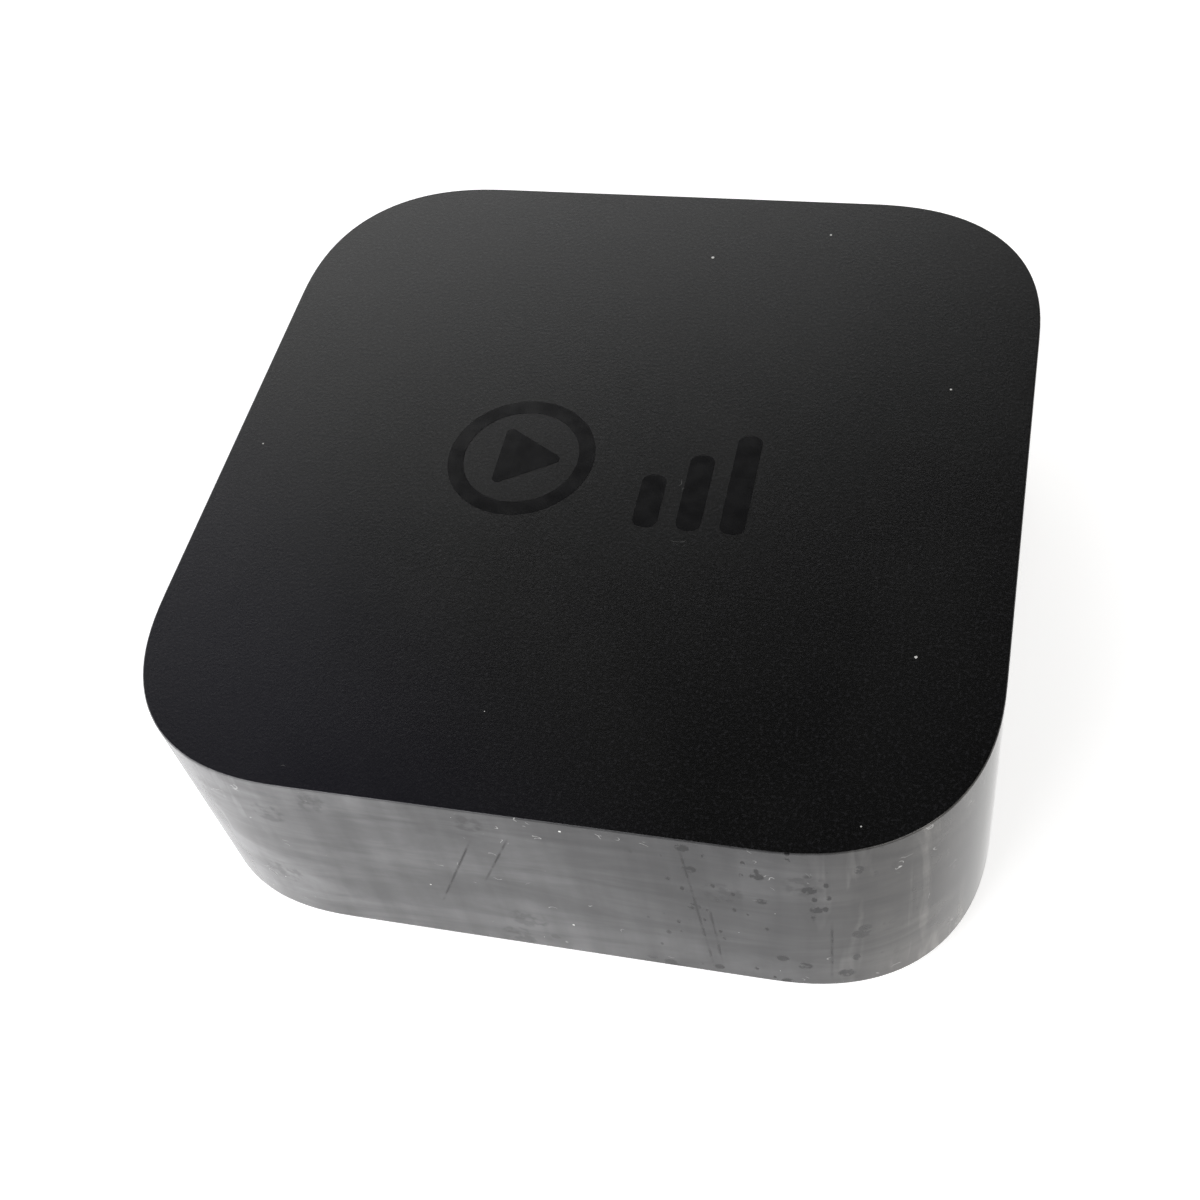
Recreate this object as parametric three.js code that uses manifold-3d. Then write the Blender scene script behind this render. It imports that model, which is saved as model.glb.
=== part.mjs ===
// Streaming media player: a square plastic housing with soft corners that stands on a raised foot.
// Inside, from the table up: foot tray, fan, heat sink, logic board and mains power supply.
// Millimetres, +Z up. The front faces -Y and the sockets +Y. The origin is on the table, under the middle.

import * as THREE from 'three';
import { mergeVertices } from 'three/addons/utils/BufferGeometryUtils.js';
import Module from 'manifold-3d';

const wasm = await Module();
wasm.setup();

// ---------------------------------------------------------------- driving dimensions

// Housing
const WIDTH = 98; // outside, and the depth is the same
const HEIGHT = 35; // from the table to the top face
const FOOT_GAP = 3.2; // from the table to the lower rim of the wall
const CORNER = 23.6; // how far a corner's curve reaches along each side
const CORNER_POWER = 2.42; // 2 is a round corner, and more is squarer
const CORNER_STEPS = 8; // straight pieces in a large corner
const WALL = 2.4;
const TOP_WALL = 2.6;
const EDGE = 0.5; // rounding of the housing's top and bottom edges
const RABBET = 1.0; // step inside the rim that the base cover seats in
const WINDOW = { width: 18, height: 9, skin: 1.1 }; // thin patch of the front wall that passes infrared
const POST_RADIUS = 3.2; // screw posts under the top
const POST_INSET = { x: 10, y: 16 }; // from the outside of the housing to the main posts

// Fits
const FIT_GAP = 0.3; // between pieces that drop into each other
const SLIP_GAP = 0.05; // around a shaft, and between pressed parts
const SCREW_GAP = 0.15; // around a screw's shank

// Base cover
const TRAY_INSET = 7; // from the outside of the housing to the tray's wall
const TRAY_WALL = 1.6;
const TRAY_FLOOR = 1.2;
const FLANGE = 1.4;
const TAB = { width: 8, thick: 1.2, rise: 5, hook: 0.6, place: 17 };
const VENT = { perSide: 6, width: 6, height: 1.0, pitch: 8.6 };
const PAD = { proud: 0.5, sunk: 0.3, width: 5, inset: 3 };

// Fan
const FAN_RADIUS = 31;
const FAN_LIFT = 0.7; // between the tray's floor and the fan
const FAN_BASE = 1.0;
const FAN_PORTS = 8;
const FAN_EARS = 37; // from the axle to the fixing screws
const COVER_PLATE = 0.6;
const INLET_RADIUS = 17; // air inlet in the fan's cover
const IMPELLER = {
  radius: 25.5, hub: 11, wall: 1.3, height: 3.6, disc: 0.7, blades: 19, blade: 0.9, sweep: 38,
};
const ROTOR_GAP = 0.8; // running clearance above and below the impeller
const SHAFT_RADIUS = 1.0;
const BEARING_WALL = 1.1;
const TUBE_WALL = 0.9;
const MAGNET_WALL = 1.2;
const AIR_GAP = 0.6; // between magnet and stator
const STATOR_POLES = 6;

// Heat sink
const FIN_GAP = 0.6; // between the fan's cover and the fins
const FIN = { height: 2.2, thick: 0.9, count: 32, inner: 19 };
const SINK_PLATE = 1.2;
const SINK_INSET = 4.6; // from the cavity wall
const PAD_THICK = 0.5; // thermal pad
const SCREW_ROOM = { head: 0.8, ear: 0.6 }; // clear of the fins around screw heads and fan posts

// Boards and what is on them
const BOARD = 1.2;
const BOARD_GAP = 1.0; // from the cavity wall to the logic board
const PROCESSOR = { size: 15, height: 1.1 };
const SUPPLY_LIFT = 3.4; // between the logic board and the supply board
const FRONT_SPACE = 14; // between the front wall and the supply board
const HEADROOM_GAP = 0.8; // between the tallest supply parts and the housing's top
const INSULATOR = 0.3;

// Screws
const MAIN_SCREW = { shank: 1.3, head: 2.6, headHeight: 1.6, grip: 5.4 };
const FAN_SCREW = { shank: 1.0, head: 1.9, headHeight: 1.2, grip: 2.4 };

// Sockets
const SOCKET_RECESS = 0.4; // the socket mouths lie this far inside the rear face
const VIDEO = { width: 15.2, height: 5.6, depth: 11.5, wall: 0.5, back: 1.5, slope: 1.6, tongue: 0.9 };
const JACK = { width: 16, height: 13.4, depth: 21.3, mouth: 11.9, mouthHeight: 6.9, cavity: 14 };
const LATCH = { width: 6.4, rise: 1.7, tip: 4, tipRise: 3 }; // keyway over the jack's mouth
const INLET = { width: 22, height: 13.4, depth: 18, lobe: 3.6, pitch: 8.6, cavity: 12 };
const PIN = { radius: 1.2, tail: 0.5 };

// Flat sides that stand for a round one, on small, middling and large cylinders
const SMALL = 10;
const MEDIUM = 20;
const LARGE = 32;

// ---------------------------------------------------------------- places worked out from them

const HALF = WIDTH / 2;
const CAVITY = HALF - WALL; // from the middle to the inside of a wall
const CEILING = HEIGHT - TOP_WALL;
const TRAY_UNDERSIDE = PAD.proud;
const TRAY_TOP = TRAY_UNDERSIDE + TRAY_FLOOR;
const FLANGE_UNDERSIDE = FOOT_GAP + FIT_GAP;
const FLANGE_TOP = FLANGE_UNDERSIDE + FLANGE;

const FAN_FLOOR = TRAY_TOP + FAN_LIFT;
const ROTOR_FLOOR = FAN_FLOOR + FAN_BASE + ROTOR_GAP;
const ROTOR_TOP = ROTOR_FLOOR + IMPELLER.height;
const FAN_TOP = ROTOR_TOP + ROTOR_GAP / 2;
const COVER_TOP = FAN_TOP + COVER_PLATE;
const FIN_FLOOR = COVER_TOP + FIN_GAP;
const PLATE_FLOOR = FIN_FLOOR + FIN.height;
const PLATE_TOP = PLATE_FLOOR + SINK_PLATE;
const BOARD_UNDERSIDE = PLATE_TOP + PAD_THICK + PROCESSOR.height;
const BOARD_TOP = BOARD_UNDERSIDE + BOARD;
const SUPPLY_UNDERSIDE = BOARD_TOP + SUPPLY_LIFT;
const SUPPLY_TOP = SUPPLY_UNDERSIDE + BOARD;
const HEADROOM = CEILING - SUPPLY_TOP - HEADROOM_GAP;

const POST = { x: HALF - POST_INSET.x, y: HALF - POST_INSET.y };
const POSTS = [[1, 1], [-1, 1], [-1, -1], [1, -1]].map(([i, j]) => [i * POST.x, j * POST.y]);
const EARS = [45, 135, 225, 315].map((degrees) => polar(FAN_EARS, degrees));

// The jack and the inlet sit beside the rear posts, and the video socket midway between them.
const SOCKET_HEIGHT = BOARD_TOP + VIDEO.height / 2;
const MOUTH = HALF - SOCKET_RECESS;
const INLET_FACE = CAVITY - 1.8; // where the inlet's case meets the collar inside the wall
const SOCKET_ROOM = POST.x - POST_RADIUS - 1;
const INLET_X = SOCKET_ROOM - INLET.width / 2;
const JACK_X = JACK.width / 2 - SOCKET_ROOM;
const VIDEO_X = (JACK_X + JACK.width / 2 + INLET_X - INLET.width / 2) / 2;
const JACK_MOUTH_DROP = 1.6; // the jack's mouth lies this far under the middle of its case
const JACK_BACK = MOUTH - JACK.depth;
const SOCKETS_FRONT = JACK_BACK - 1; // the sockets keep the room behind this

// The supply board fills the room between the posts, the front electronics and the sockets.
const SUPPLY = {
  half: POST.x - POST_RADIUS - 1,
  front: FRONT_SPACE - CAVITY,
  rear: SOCKETS_FRONT,
};
const SUPPLY_CORNER = 3.3; // from its corners to its screws
const SUPPLY_POSTS = [
  [-SUPPLY.half + SUPPLY_CORNER, SUPPLY.rear - SUPPLY_CORNER],
  [-SUPPLY.half + SUPPLY_CORNER, SUPPLY.front + SUPPLY_CORNER],
  [SUPPLY.half - SUPPLY_CORNER, SUPPLY.front + SUPPLY_CORNER],
];
const SUPPLY_POST_RADIUS = 2.7;
const SOLDER_Y = SUPPLY.rear - 3; // where the inlet's pins come up through the supply board
const TAIL_RISE = 0.5; // the pins' tails stand this far over it
const TAIL_GAP = 0.14; // between a tail and the capacitor over it
const POWER_POSTS = [-4, 4].map((offset) => [offset, SUPPLY.rear - 4]);
const POWER_POST_RADIUS = 2.4;

// ---------------------------------------------------------------- finishes

const finish = (color, roughness, metalness = 0) =>
  new THREE.MeshStandardMaterial({ color, roughness, metalness });

const FINISHES = {
  housing: finish(0x101012, 0.25),
  blackPlastic: finish(0x18181a, 0.6),
  rubber: finish(0x1c1c1d, 0.9),
  fanPlastic: finish(0x232527, 0.5),
  steel: finish(0xa9abad, 0.35, 1),
  springSteel: finish(0xc9cbcc, 0.25, 1),
  aluminium: finish(0xb9bcbf, 0.4, 1),
  copper: finish(0xb8703a, 0.35, 1),
  brass: finish(0xc9a24a, 0.3, 1),
  magnet: finish(0x3a3532, 0.7),
  ferrite: finish(0x2a2a2c, 0.75),
  tape: finish(0xd9b23a, 0.5),
  logicBoard: finish(0x10181c, 0.45),
  supplyBoard: finish(0xc7a869, 0.6),
  chip: finish(0x161618, 0.5),
  thermalPad: finish(0x8fa3b5, 0.9),
  flex: finish(0xb9772b, 0.5),
  insulator: finish(0xe8e6dc, 0.5),
  sleeve: finish(0x14161c, 0.35),
  filmBox: finish(0xd8a028, 0.55),
  fuse: finish(0x6b3a1e, 0.5),
  lens: finish(0xf2f4f6, 0.1),
};

// ---------------------------------------------------------------- shape helpers

/** A point at this distance and angle from the fan's axle. */
function polar(radius, degrees) {
  const angle = THREE.MathUtils.degToRad(degrees);
  return [radius * Math.cos(angle), radius * Math.sin(angle)];
}

/** A closed three.js geometry as a solid that can be cut and joined. */
function solid(geometry) {
  const bare = geometry.index ? geometry.toNonIndexed() : geometry.clone();
  bare.deleteAttribute('normal');
  bare.deleteAttribute('uv');
  const merged = mergeVertices(bare, 1e-4);
  return new wasm.Manifold(new wasm.Mesh({
    numProp: 3,
    vertProperties: merged.attributes.position.array,
    triVerts: new Uint32Array(merged.index.array),
  }));
}

const join = (...solids) => solids.flat().reduce((whole, next) => whole.add(next));
const cut = (whole, ...tools) => tools.flat().reduce((rest, tool) => rest.subtract(tool), whole);

/** A block between two values on each axis. */
function block([x0, x1], [y0, y1], [z0, z1]) {
  const geometry = new THREE.BoxGeometry(x1 - x0, y1 - y0, z1 - z0);
  return solid(geometry.translate((x0 + x1) / 2, (y0 + y1) / 2, (z0 + z1) / 2));
}

/** An upright cylinder. */
function rod(radius, [z0, z1], [x, y] = [0, 0], sides = MEDIUM) {
  const geometry = new THREE.CylinderGeometry(radius, radius, z1 - z0, sides);
  return solid(geometry.rotateX(Math.PI / 2).translate(x, y, (z0 + z1) / 2));
}

/** A flat washer shape, or a short pipe. */
const ring = (outer, inner, [z0, z1], centre, sides) =>
  cut(rod(outer, [z0, z1], centre, sides), rod(inner, [z0 - 1, z1 + 1], centre, sides));

/** A flat outline drawn in X and Y, made thick from z0 to z1. */
function slab(shape, [z0, z1]) {
  const geometry = new THREE.ExtrudeGeometry(shape, { depth: z1 - z0, bevelEnabled: false });
  return solid(geometry.translate(0, 0, z0));
}

/** An outline drawn in X and Z, made thick from y0 to y1. */
function slabAlongY(shape, [y0, y1]) {
  const geometry = new THREE.ExtrudeGeometry(shape, { depth: y1 - y0, bevelEnabled: false });
  return solid(geometry.rotateX(Math.PI / 2).translate(0, y1, 0));
}

/** A rectangle with soft corners, centred on the axis. */
function softRectangle(halfWidth, halfDepth, corner, steps = CORNER_STEPS) {
  const points = [];
  const quarters = [[1, 1], [-1, 1], [-1, -1], [1, -1]];
  quarters.forEach(([i, j], quarter) => {
    for (let step = 0; step <= steps; step++) {
      const share = (quarter % 2 ? steps - step : step) / steps;
      const angle = (share * Math.PI) / 2;
      const x = halfWidth - corner + corner * Math.cos(angle) ** (2 / CORNER_POWER);
      const y = halfDepth - corner + corner * Math.sin(angle) ** (2 / CORNER_POWER);
      points.push(new THREE.Vector2(i * x, j * y));
    }
  });
  return new THREE.Shape(points);
}

/** The housing's outline, drawn in by an inset. */
const outline = (inset) => softRectangle(HALF - inset, HALF - inset, CORNER - inset);

/** A rectangle with a centre, for sockets in the rear wall. */
function rectangle(x, z, width, height) {
  const [w, h] = [width / 2, height / 2];
  return new THREE.Shape([
    new THREE.Vector2(x - w, z - h),
    new THREE.Vector2(x + w, z - h),
    new THREE.Vector2(x + w, z + h),
    new THREE.Vector2(x - w, z + h),
  ]);
}

/** Turns a solid a quarter turn at a time, once for each side of the housing. */
function onEachSide(make) {
  return [0, 1, 2, 3].map((side) => {
    const mesh = make().getMesh();
    return solid(geometryOf(mesh).rotateZ((side * Math.PI) / 2));
  });
}

/** The same solid at each angle around the fan's axle. */
function around(make, count, start = 0) {
  return Array.from({ length: count }, (_, i) => {
    const angle = THREE.MathUtils.degToRad(start) + (i * 2 * Math.PI) / count;
    return solid(geometryOf(make().getMesh()).rotateZ(angle));
  });
}

/** A tube of the given radius through a list of points. */
function tube(points, radius, steps, sides = 6) {
  const circle = new THREE.EllipseCurve(0, 0, radius, radius).getPoints(sides);
  const section = new THREE.Shape(circle.slice(0, -1));
  const path = new THREE.CatmullRomCurve3(points.map((p) => new THREE.Vector3(...p)));
  return solid(new THREE.ExtrudeGeometry(section, { steps, extrudePath: path }));
}

function geometryOf({ vertProperties, triVerts }) {
  const geometry = new THREE.BufferGeometry();
  geometry.setAttribute('position', new THREE.BufferAttribute(new Float32Array(vertProperties), 3));
  geometry.setIndex(new THREE.BufferAttribute(new Uint32Array(triVerts), 1));
  return geometry;
}

/** A named piece, standing at a place inside its group. */
function piece(name, shape, material, group, [x, y, z] = [0, 0, 0]) {
  const geometry = geometryOf(shape.getMesh());
  geometry.computeVertexNormals();
  const mesh = new THREE.Mesh(geometry, material);
  mesh.name = name;
  mesh.position.set(x, y, z);
  group.add(mesh);
  return mesh;
}

/** A cheese-head screw that points up, with its head's upper face at zero. */
function screw({ shank, head, headHeight }, length) {
  const drive = rod(shank * 0.6, [-headHeight - 1, -headHeight * 0.5], [0, 0], 6);
  const body = join(rod(head, [-headHeight, 0], [0, 0], SMALL), rod(shank, [-0.1, length], [0, 0], SMALL));
  return cut(body, drive);
}

/** Holes for one kind of screw at each of these places. */
const screwHoles = (places, { shank }, gap, level) =>
  places.map((at) => rod(shank + gap, level, at, SMALL));

// ---------------------------------------------------------------- housing and base

/** The two joined circles of a small mains socket, grown by a margin. */
function inletOutline(margin) {
  const radius = INLET.lobe + margin;
  const half = INLET.pitch / 2;
  const shape = new THREE.Shape();
  shape.absarc(INLET_X + half, SOCKET_HEIGHT, radius, -Math.PI / 2, Math.PI / 2);
  shape.absarc(INLET_X - half, SOCKET_HEIGHT, radius, Math.PI / 2, (3 * Math.PI) / 2);
  return new THREE.Shape(shape.getPoints(8));
}

/** The screen cable's socket outline: flat on top, with its lower corners cut off. */
function videoOutline(margin) {
  const half = VIDEO.width / 2 + margin;
  const top = SOCKET_HEIGHT + VIDEO.height / 2 + margin;
  const bottom = SOCKET_HEIGHT - VIDEO.height / 2 - margin;
  const { slope } = VIDEO;
  return new THREE.Shape([
    new THREE.Vector2(VIDEO_X - half + slope, bottom),
    new THREE.Vector2(VIDEO_X + half - slope, bottom),
    new THREE.Vector2(VIDEO_X + half, bottom + slope),
    new THREE.Vector2(VIDEO_X + half, top),
    new THREE.Vector2(VIDEO_X - half, top),
    new THREE.Vector2(VIDEO_X - half, bottom + slope),
  ]);
}

const jackOutline = (margin) =>
  rectangle(JACK_X, SOCKET_HEIGHT, JACK.width + 2 * margin, JACK.height + 2 * margin);

/** Where each of the base cover's tabs stands, on the side that faces +X. */
const TAB_PLACES = [-TAB.place, TAB.place];
const HOOK = [FLANGE_TOP + TAB.rise - 1.6, FLANGE_TOP + TAB.rise - 0.4];

function housing() {
  const skin = new THREE.ExtrudeGeometry(outline(0), {
    depth: HEIGHT - FOOT_GAP - 2 * EDGE,
    bevelThickness: EDGE,
    bevelSize: EDGE,
    bevelOffset: -EDGE,
    bevelSegments: 2,
  }).translate(0, 0, FOOT_GAP + EDGE);
  const inside = slab(outline(WALL), [0, CEILING]);
  const seat = slab(outline(WALL - RABBET), [0, FLANGE_TOP]);
  const pockets = onEachSide(() => join(TAB_PLACES.map((y) => block(
    [CAVITY - 1, CAVITY + TAB.hook + FIT_GAP / 2],
    [y - TAB.width / 2 - FIT_GAP, y + TAB.width / 2 + FIT_GAP],
    [HOOK[0] - FIT_GAP, HOOK[1] + FIT_GAP],
  ))));
  const window = block(
    [-WINDOW.width / 2, WINDOW.width / 2],
    [WINDOW.skin - HALF, 1 - CAVITY],
    [BOARD_TOP + 1, BOARD_TOP + 1 + WINDOW.height],
  );
  const collar = slabAlongY(
    rectangle(INLET_X, SOCKET_HEIGHT, INLET.width, INLET.height),
    [INLET_FACE, CAVITY + 0.5],
  );
  const sockets = [inletOutline(FIT_GAP), videoOutline(FIT_GAP), jackOutline(FIT_GAP)]
    .map((shape) => slabAlongY(shape, [INLET_FACE - 1, HALF + 1]));
  const shell = cut(join(cut(solid(skin), inside), collar), seat, pockets, window, sockets);
  const posts = POSTS.map((at) => rod(POST_RADIUS, [BOARD_TOP, CEILING + 0.5], at, SMALL));
  const supplyPosts = SUPPLY_POSTS.map((at) =>
    rod(SUPPLY_POST_RADIUS, [SUPPLY_TOP, CEILING + 0.5], at, SMALL));
  const bores = screwHoles(POSTS, MAIN_SCREW, SCREW_GAP, [BOARD_TOP - 1, BOARD_TOP + MAIN_SCREW.grip + 1]);
  const supplyBores = screwHoles(
    SUPPLY_POSTS,
    FAN_SCREW,
    SCREW_GAP,
    [SUPPLY_TOP - 1, SUPPLY_TOP + FAN_SCREW.grip + 1],
  );
  return cut(join(shell, posts, supplyPosts), bores, supplyBores);
}

function baseCover() {
  const tray = slab(outline(TRAY_INSET), [TRAY_UNDERSIDE, FLANGE_TOP]);
  const flange = slab(outline(WALL - RABBET + FIT_GAP), [FLANGE_UNDERSIDE, FLANGE_TOP]);
  const hollow = slab(outline(TRAY_INSET + TRAY_WALL), [TRAY_TOP, FLANGE_TOP + 1]);
  const groove = cut(
    slab(outline(TRAY_INSET + PAD.inset), [0, TRAY_UNDERSIDE + PAD.sunk]),
    slab(outline(TRAY_INSET + PAD.inset + PAD.width), [-1, TRAY_UNDERSIDE + PAD.sunk + 1]),
  );
  const wallMiddle = HALF - TRAY_INSET - TRAY_WALL / 2;
  const ventTop = FLANGE_UNDERSIDE - 0.5;
  const vents = onEachSide(() => join(Array.from({ length: VENT.perSide }, (_, i) => {
    const y = (i - (VENT.perSide - 1) / 2) * VENT.pitch;
    return block(
      [wallMiddle - TRAY_WALL, wallMiddle + TRAY_WALL],
      [y - VENT.width / 2, y + VENT.width / 2],
      [ventTop - VENT.height, ventTop],
    );
  })));
  const outer = CAVITY - FIT_GAP;
  const tabs = onEachSide(() => join(TAB_PLACES.map((y) => {
    const across = [y - TAB.width / 2, y + TAB.width / 2];
    const stem = block([outer - TAB.thick, outer], across, [FLANGE_TOP - 0.5, FLANGE_TOP + TAB.rise]);
    return join(stem, block([outer - 0.1, outer + TAB.hook], across, HOOK));
  })));
  return cut(join(cut(join(tray, flange), hollow), tabs), groove, vents);
}

function footPad() {
  const inset = TRAY_INSET + PAD.inset;
  return cut(
    slab(outline(inset + SLIP_GAP), [0, TRAY_UNDERSIDE + PAD.sunk]),
    slab(outline(inset + PAD.width - SLIP_GAP), [-1, TRAY_UNDERSIDE + PAD.sunk + 1]),
  );
}

// ---------------------------------------------------------------- fan

const TUBE_TOP = ROTOR_TOP - IMPELLER.disc - 0.5; // the bearing tube ends just under the hub's roof
const BEARING_RADIUS = SHAFT_RADIUS + SLIP_GAP + BEARING_WALL;
const TUBE_RADIUS = BEARING_RADIUS + SLIP_GAP + TUBE_WALL;
const BEARING_SEAT = FAN_FLOOR + 0.4;
const SHAFT_TOP = ROTOR_TOP - 0.2; // the bore in the hub stops here
const EAR = 1.0; // thickness of the frame's ears
const EAR_RADIUS = 3;

/** Four ears with screw holes, reaching out from a disc of this radius. */
function ears([z0, z1], radius) {
  const arms = EARS.map((at) => rod(EAR_RADIUS, [z0, z1], at, SMALL));
  const webs = around(
    () => block([radius - 2, FAN_EARS], [-EAR_RADIUS, EAR_RADIUS], [z0, z1]),
    EARS.length,
    45,
  );
  return join(arms, webs);
}

const earHoles = ([z0, z1]) => screwHoles(EARS, FAN_SCREW, SCREW_GAP, [z0 - 1, z1 + 1]);

function fanFrame() {
  const floor = rod(FAN_RADIUS, [FAN_FLOOR, FAN_FLOOR + FAN_BASE], [0, 0], LARGE);
  const bearingTube = rod(TUBE_RADIUS, [FAN_FLOOR, TUBE_TOP]);
  const rim = ring(FAN_RADIUS, FAN_RADIUS - 3, [FAN_TOP - EAR, FAN_TOP], [0, 0], LARGE);
  const pillar = () => block([FAN_RADIUS - 2.9, FAN_RADIUS - 0.5], [-2.2, 2.2], [FAN_FLOOR, FAN_TOP]);
  const pillars = around(pillar, FAN_PORTS, 180 / FAN_PORTS);
  const body = join(floor, bearingTube, rim, pillars, ears([FAN_TOP - EAR, FAN_TOP], FAN_RADIUS));
  const bearingSeat = rod(BEARING_RADIUS + SLIP_GAP, [BEARING_SEAT, TUBE_TOP + 1]);
  return cut(body, bearingSeat, earHoles([FAN_TOP - EAR, FAN_TOP]));
}

function fanCover() {
  const level = [FAN_TOP, COVER_TOP];
  const plate = join(ring(FAN_RADIUS, INLET_RADIUS, level, [0, 0], LARGE), ears(level, FAN_RADIUS));
  return cut(plate, earHoles(level));
}

/** One swept-back blade, drawn as a thin bent strip. */
function blade() {
  const root = IMPELLER.hub - 0.4;
  const tip = IMPELLER.radius - 0.2;
  const line = [0, 0.35, 0.7, 1].map((share) =>
    polar(root + (tip - root) * share, -IMPELLER.sweep * share ** 1.3));
  const left = line.map(([x, y]) => new THREE.Vector2(x, y + IMPELLER.blade / 2));
  const right = line.map(([x, y]) => new THREE.Vector2(x, y - IMPELLER.blade / 2));
  return slab(new THREE.Shape([...right, ...left.reverse()]), [ROTOR_FLOOR + 0.1, ROTOR_TOP - 0.2]);
}

function fanImpeller() {
  const hub = rod(IMPELLER.hub, [ROTOR_FLOOR, ROTOR_TOP], [0, 0], LARGE);
  const disc = rod(IMPELLER.radius, [ROTOR_FLOOR, ROTOR_FLOOR + IMPELLER.disc], [0, 0], LARGE);
  const roof = ROTOR_TOP - IMPELLER.disc;
  const hollow = rod(IMPELLER.hub - IMPELLER.wall, [ROTOR_FLOOR - 1, roof], [0, 0], LARGE);
  const bore = rod(SHAFT_RADIUS + SLIP_GAP, [ROTOR_FLOOR, SHAFT_TOP]);
  return cut(join(hub, disc, around(blade, IMPELLER.blades)), hollow, bore);
}

const MAGNET_RADIUS = IMPELLER.hub - IMPELLER.wall - SLIP_GAP;

function fanMagnet() {
  const level = [ROTOR_FLOOR + 0.3, ROTOR_TOP - IMPELLER.disc - SLIP_GAP];
  return ring(MAGNET_RADIUS, MAGNET_RADIUS - MAGNET_WALL, level, [0, 0], LARGE);
}

const fanShaft = () =>
  rod(SHAFT_RADIUS, [BEARING_SEAT + SLIP_GAP, SHAFT_TOP - SLIP_GAP]);

const fanBearing = () =>
  ring(BEARING_RADIUS, SHAFT_RADIUS + SLIP_GAP, [BEARING_SEAT + SLIP_GAP, TUBE_TOP]);

/** The iron core with its wound poles. */
function fanStator() {
  const reach = MAGNET_RADIUS - MAGNET_WALL - AIR_GAP;
  const inner = TUBE_RADIUS + SLIP_GAP;
  const level = [FAN_FLOOR + FAN_BASE + 0.5, ROTOR_TOP - IMPELLER.disc - 0.6];
  const core = ring(inner + 1, inner, level);
  const winding = () => block([inner + 0.4, reach - 0.8], [-1.3, 1.3], [level[0] + 0.1, level[1] - 0.1]);
  const shoe = () => block([reach - 1, reach], [-2.1, 2.1], [level[0] + 0.3, level[1] - 0.3]);
  const poles = [...around(winding, STATOR_POLES), ...around(shoe, STATOR_POLES)];
  return cut(join(core, poles), rod(inner, [level[0] - 1, level[1] + 1]));
}

const FLEX = { width: 5, thick: 0.25, x: CAVITY - 3.2, z: FAN_FLOOR + FAN_BASE + 2 };
const FAN_SOCKET = { width: 6, depth: 3, height: 1.0 };

/** The flat ribbon that leaves the fan sideways, and turns up to the logic board. */
function fanFlex() {
  const top = BOARD_UNDERSIDE - FAN_SOCKET.height / 2;
  const profile = new THREE.Shape([
    new THREE.Vector2(-FAN_RADIUS - 0.4, FLEX.z),
    new THREE.Vector2(-FLEX.x - FLEX.thick, FLEX.z),
    new THREE.Vector2(-FLEX.x - FLEX.thick, top + FLEX.thick),
    new THREE.Vector2(-FLEX.x + 0.4, top + FLEX.thick),
    new THREE.Vector2(-FLEX.x + 0.4, top),
    new THREE.Vector2(-FLEX.x, top),
    new THREE.Vector2(-FLEX.x, FLEX.z + FLEX.thick),
    new THREE.Vector2(-FAN_RADIUS - 0.4, FLEX.z + FLEX.thick),
  ]);
  return slabAlongY(profile, [-FLEX.width / 2, FLEX.width / 2]);
}

const fanSocket = () => block(
  [0, FAN_SOCKET.depth],
  [-FAN_SOCKET.width / 2, FAN_SOCKET.width / 2],
  [-FAN_SOCKET.height, 0],
);

// ---------------------------------------------------------------- heat sink

function heatSink() {
  const half = CAVITY - SINK_INSET;
  const plate = slab(softRectangle(half, half, CORNER - WALL - SINK_INSET), [PLATE_FLOOR, PLATE_TOP]);
  const socketRoom = block([-SOCKET_ROOM, SOCKET_ROOM], [SOCKETS_FRONT, HALF], [0, BOARD_TOP]);
  const farFins = around(() => block(
    [FIN.inner, 2 * WIDTH],
    [-FIN.thick / 2, FIN.thick / 2],
    [FIN_FLOOR, PLATE_FLOOR + 0.1],
  ), FIN.count, 360 / FIN.count / 2);
  const finRoom = slab(softRectangle(half - 1, half - 1, CORNER - WALL - SINK_INSET), [0, PLATE_TOP]);
  const fins = join(farFins).intersect(finRoom);
  const headRoom = POSTS.map((at) => rod(MAIN_SCREW.head + SCREW_ROOM.head, [0, PLATE_FLOOR + 0.2], at, 8));
  const fanPosts = EARS.map((at) => rod(EAR_RADIUS, [COVER_TOP, PLATE_FLOOR + 0.1], at, SMALL));
  const fanPostRoom = EARS.map((at) => rod(EAR_RADIUS + SCREW_ROOM.ear, [0, PLATE_FLOOR + 0.2], at, 8));
  const boardPosts = POSTS.map((at) => rod(POST_RADIUS, [PLATE_TOP - 0.1, BOARD_UNDERSIDE], at, SMALL));
  const body = join(plate, cut(fins, headRoom, fanPostRoom), fanPosts, boardPosts);
  const bores = screwHoles(POSTS, MAIN_SCREW, SCREW_GAP, [0, BOARD_TOP]);
  const fanBores = screwHoles(EARS, FAN_SCREW, SCREW_GAP, [0, COVER_TOP + FAN_SCREW.grip + 0.4]);
  return cut(body, socketRoom, bores, fanBores);
}

const thermalPad = () => block(
  [-PROCESSOR.size / 2, PROCESSOR.size / 2],
  [-PROCESSOR.size / 2, PROCESSOR.size / 2],
  [PLATE_TOP, PLATE_TOP + PAD_THICK],
);

// ---------------------------------------------------------------- logic board

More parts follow.
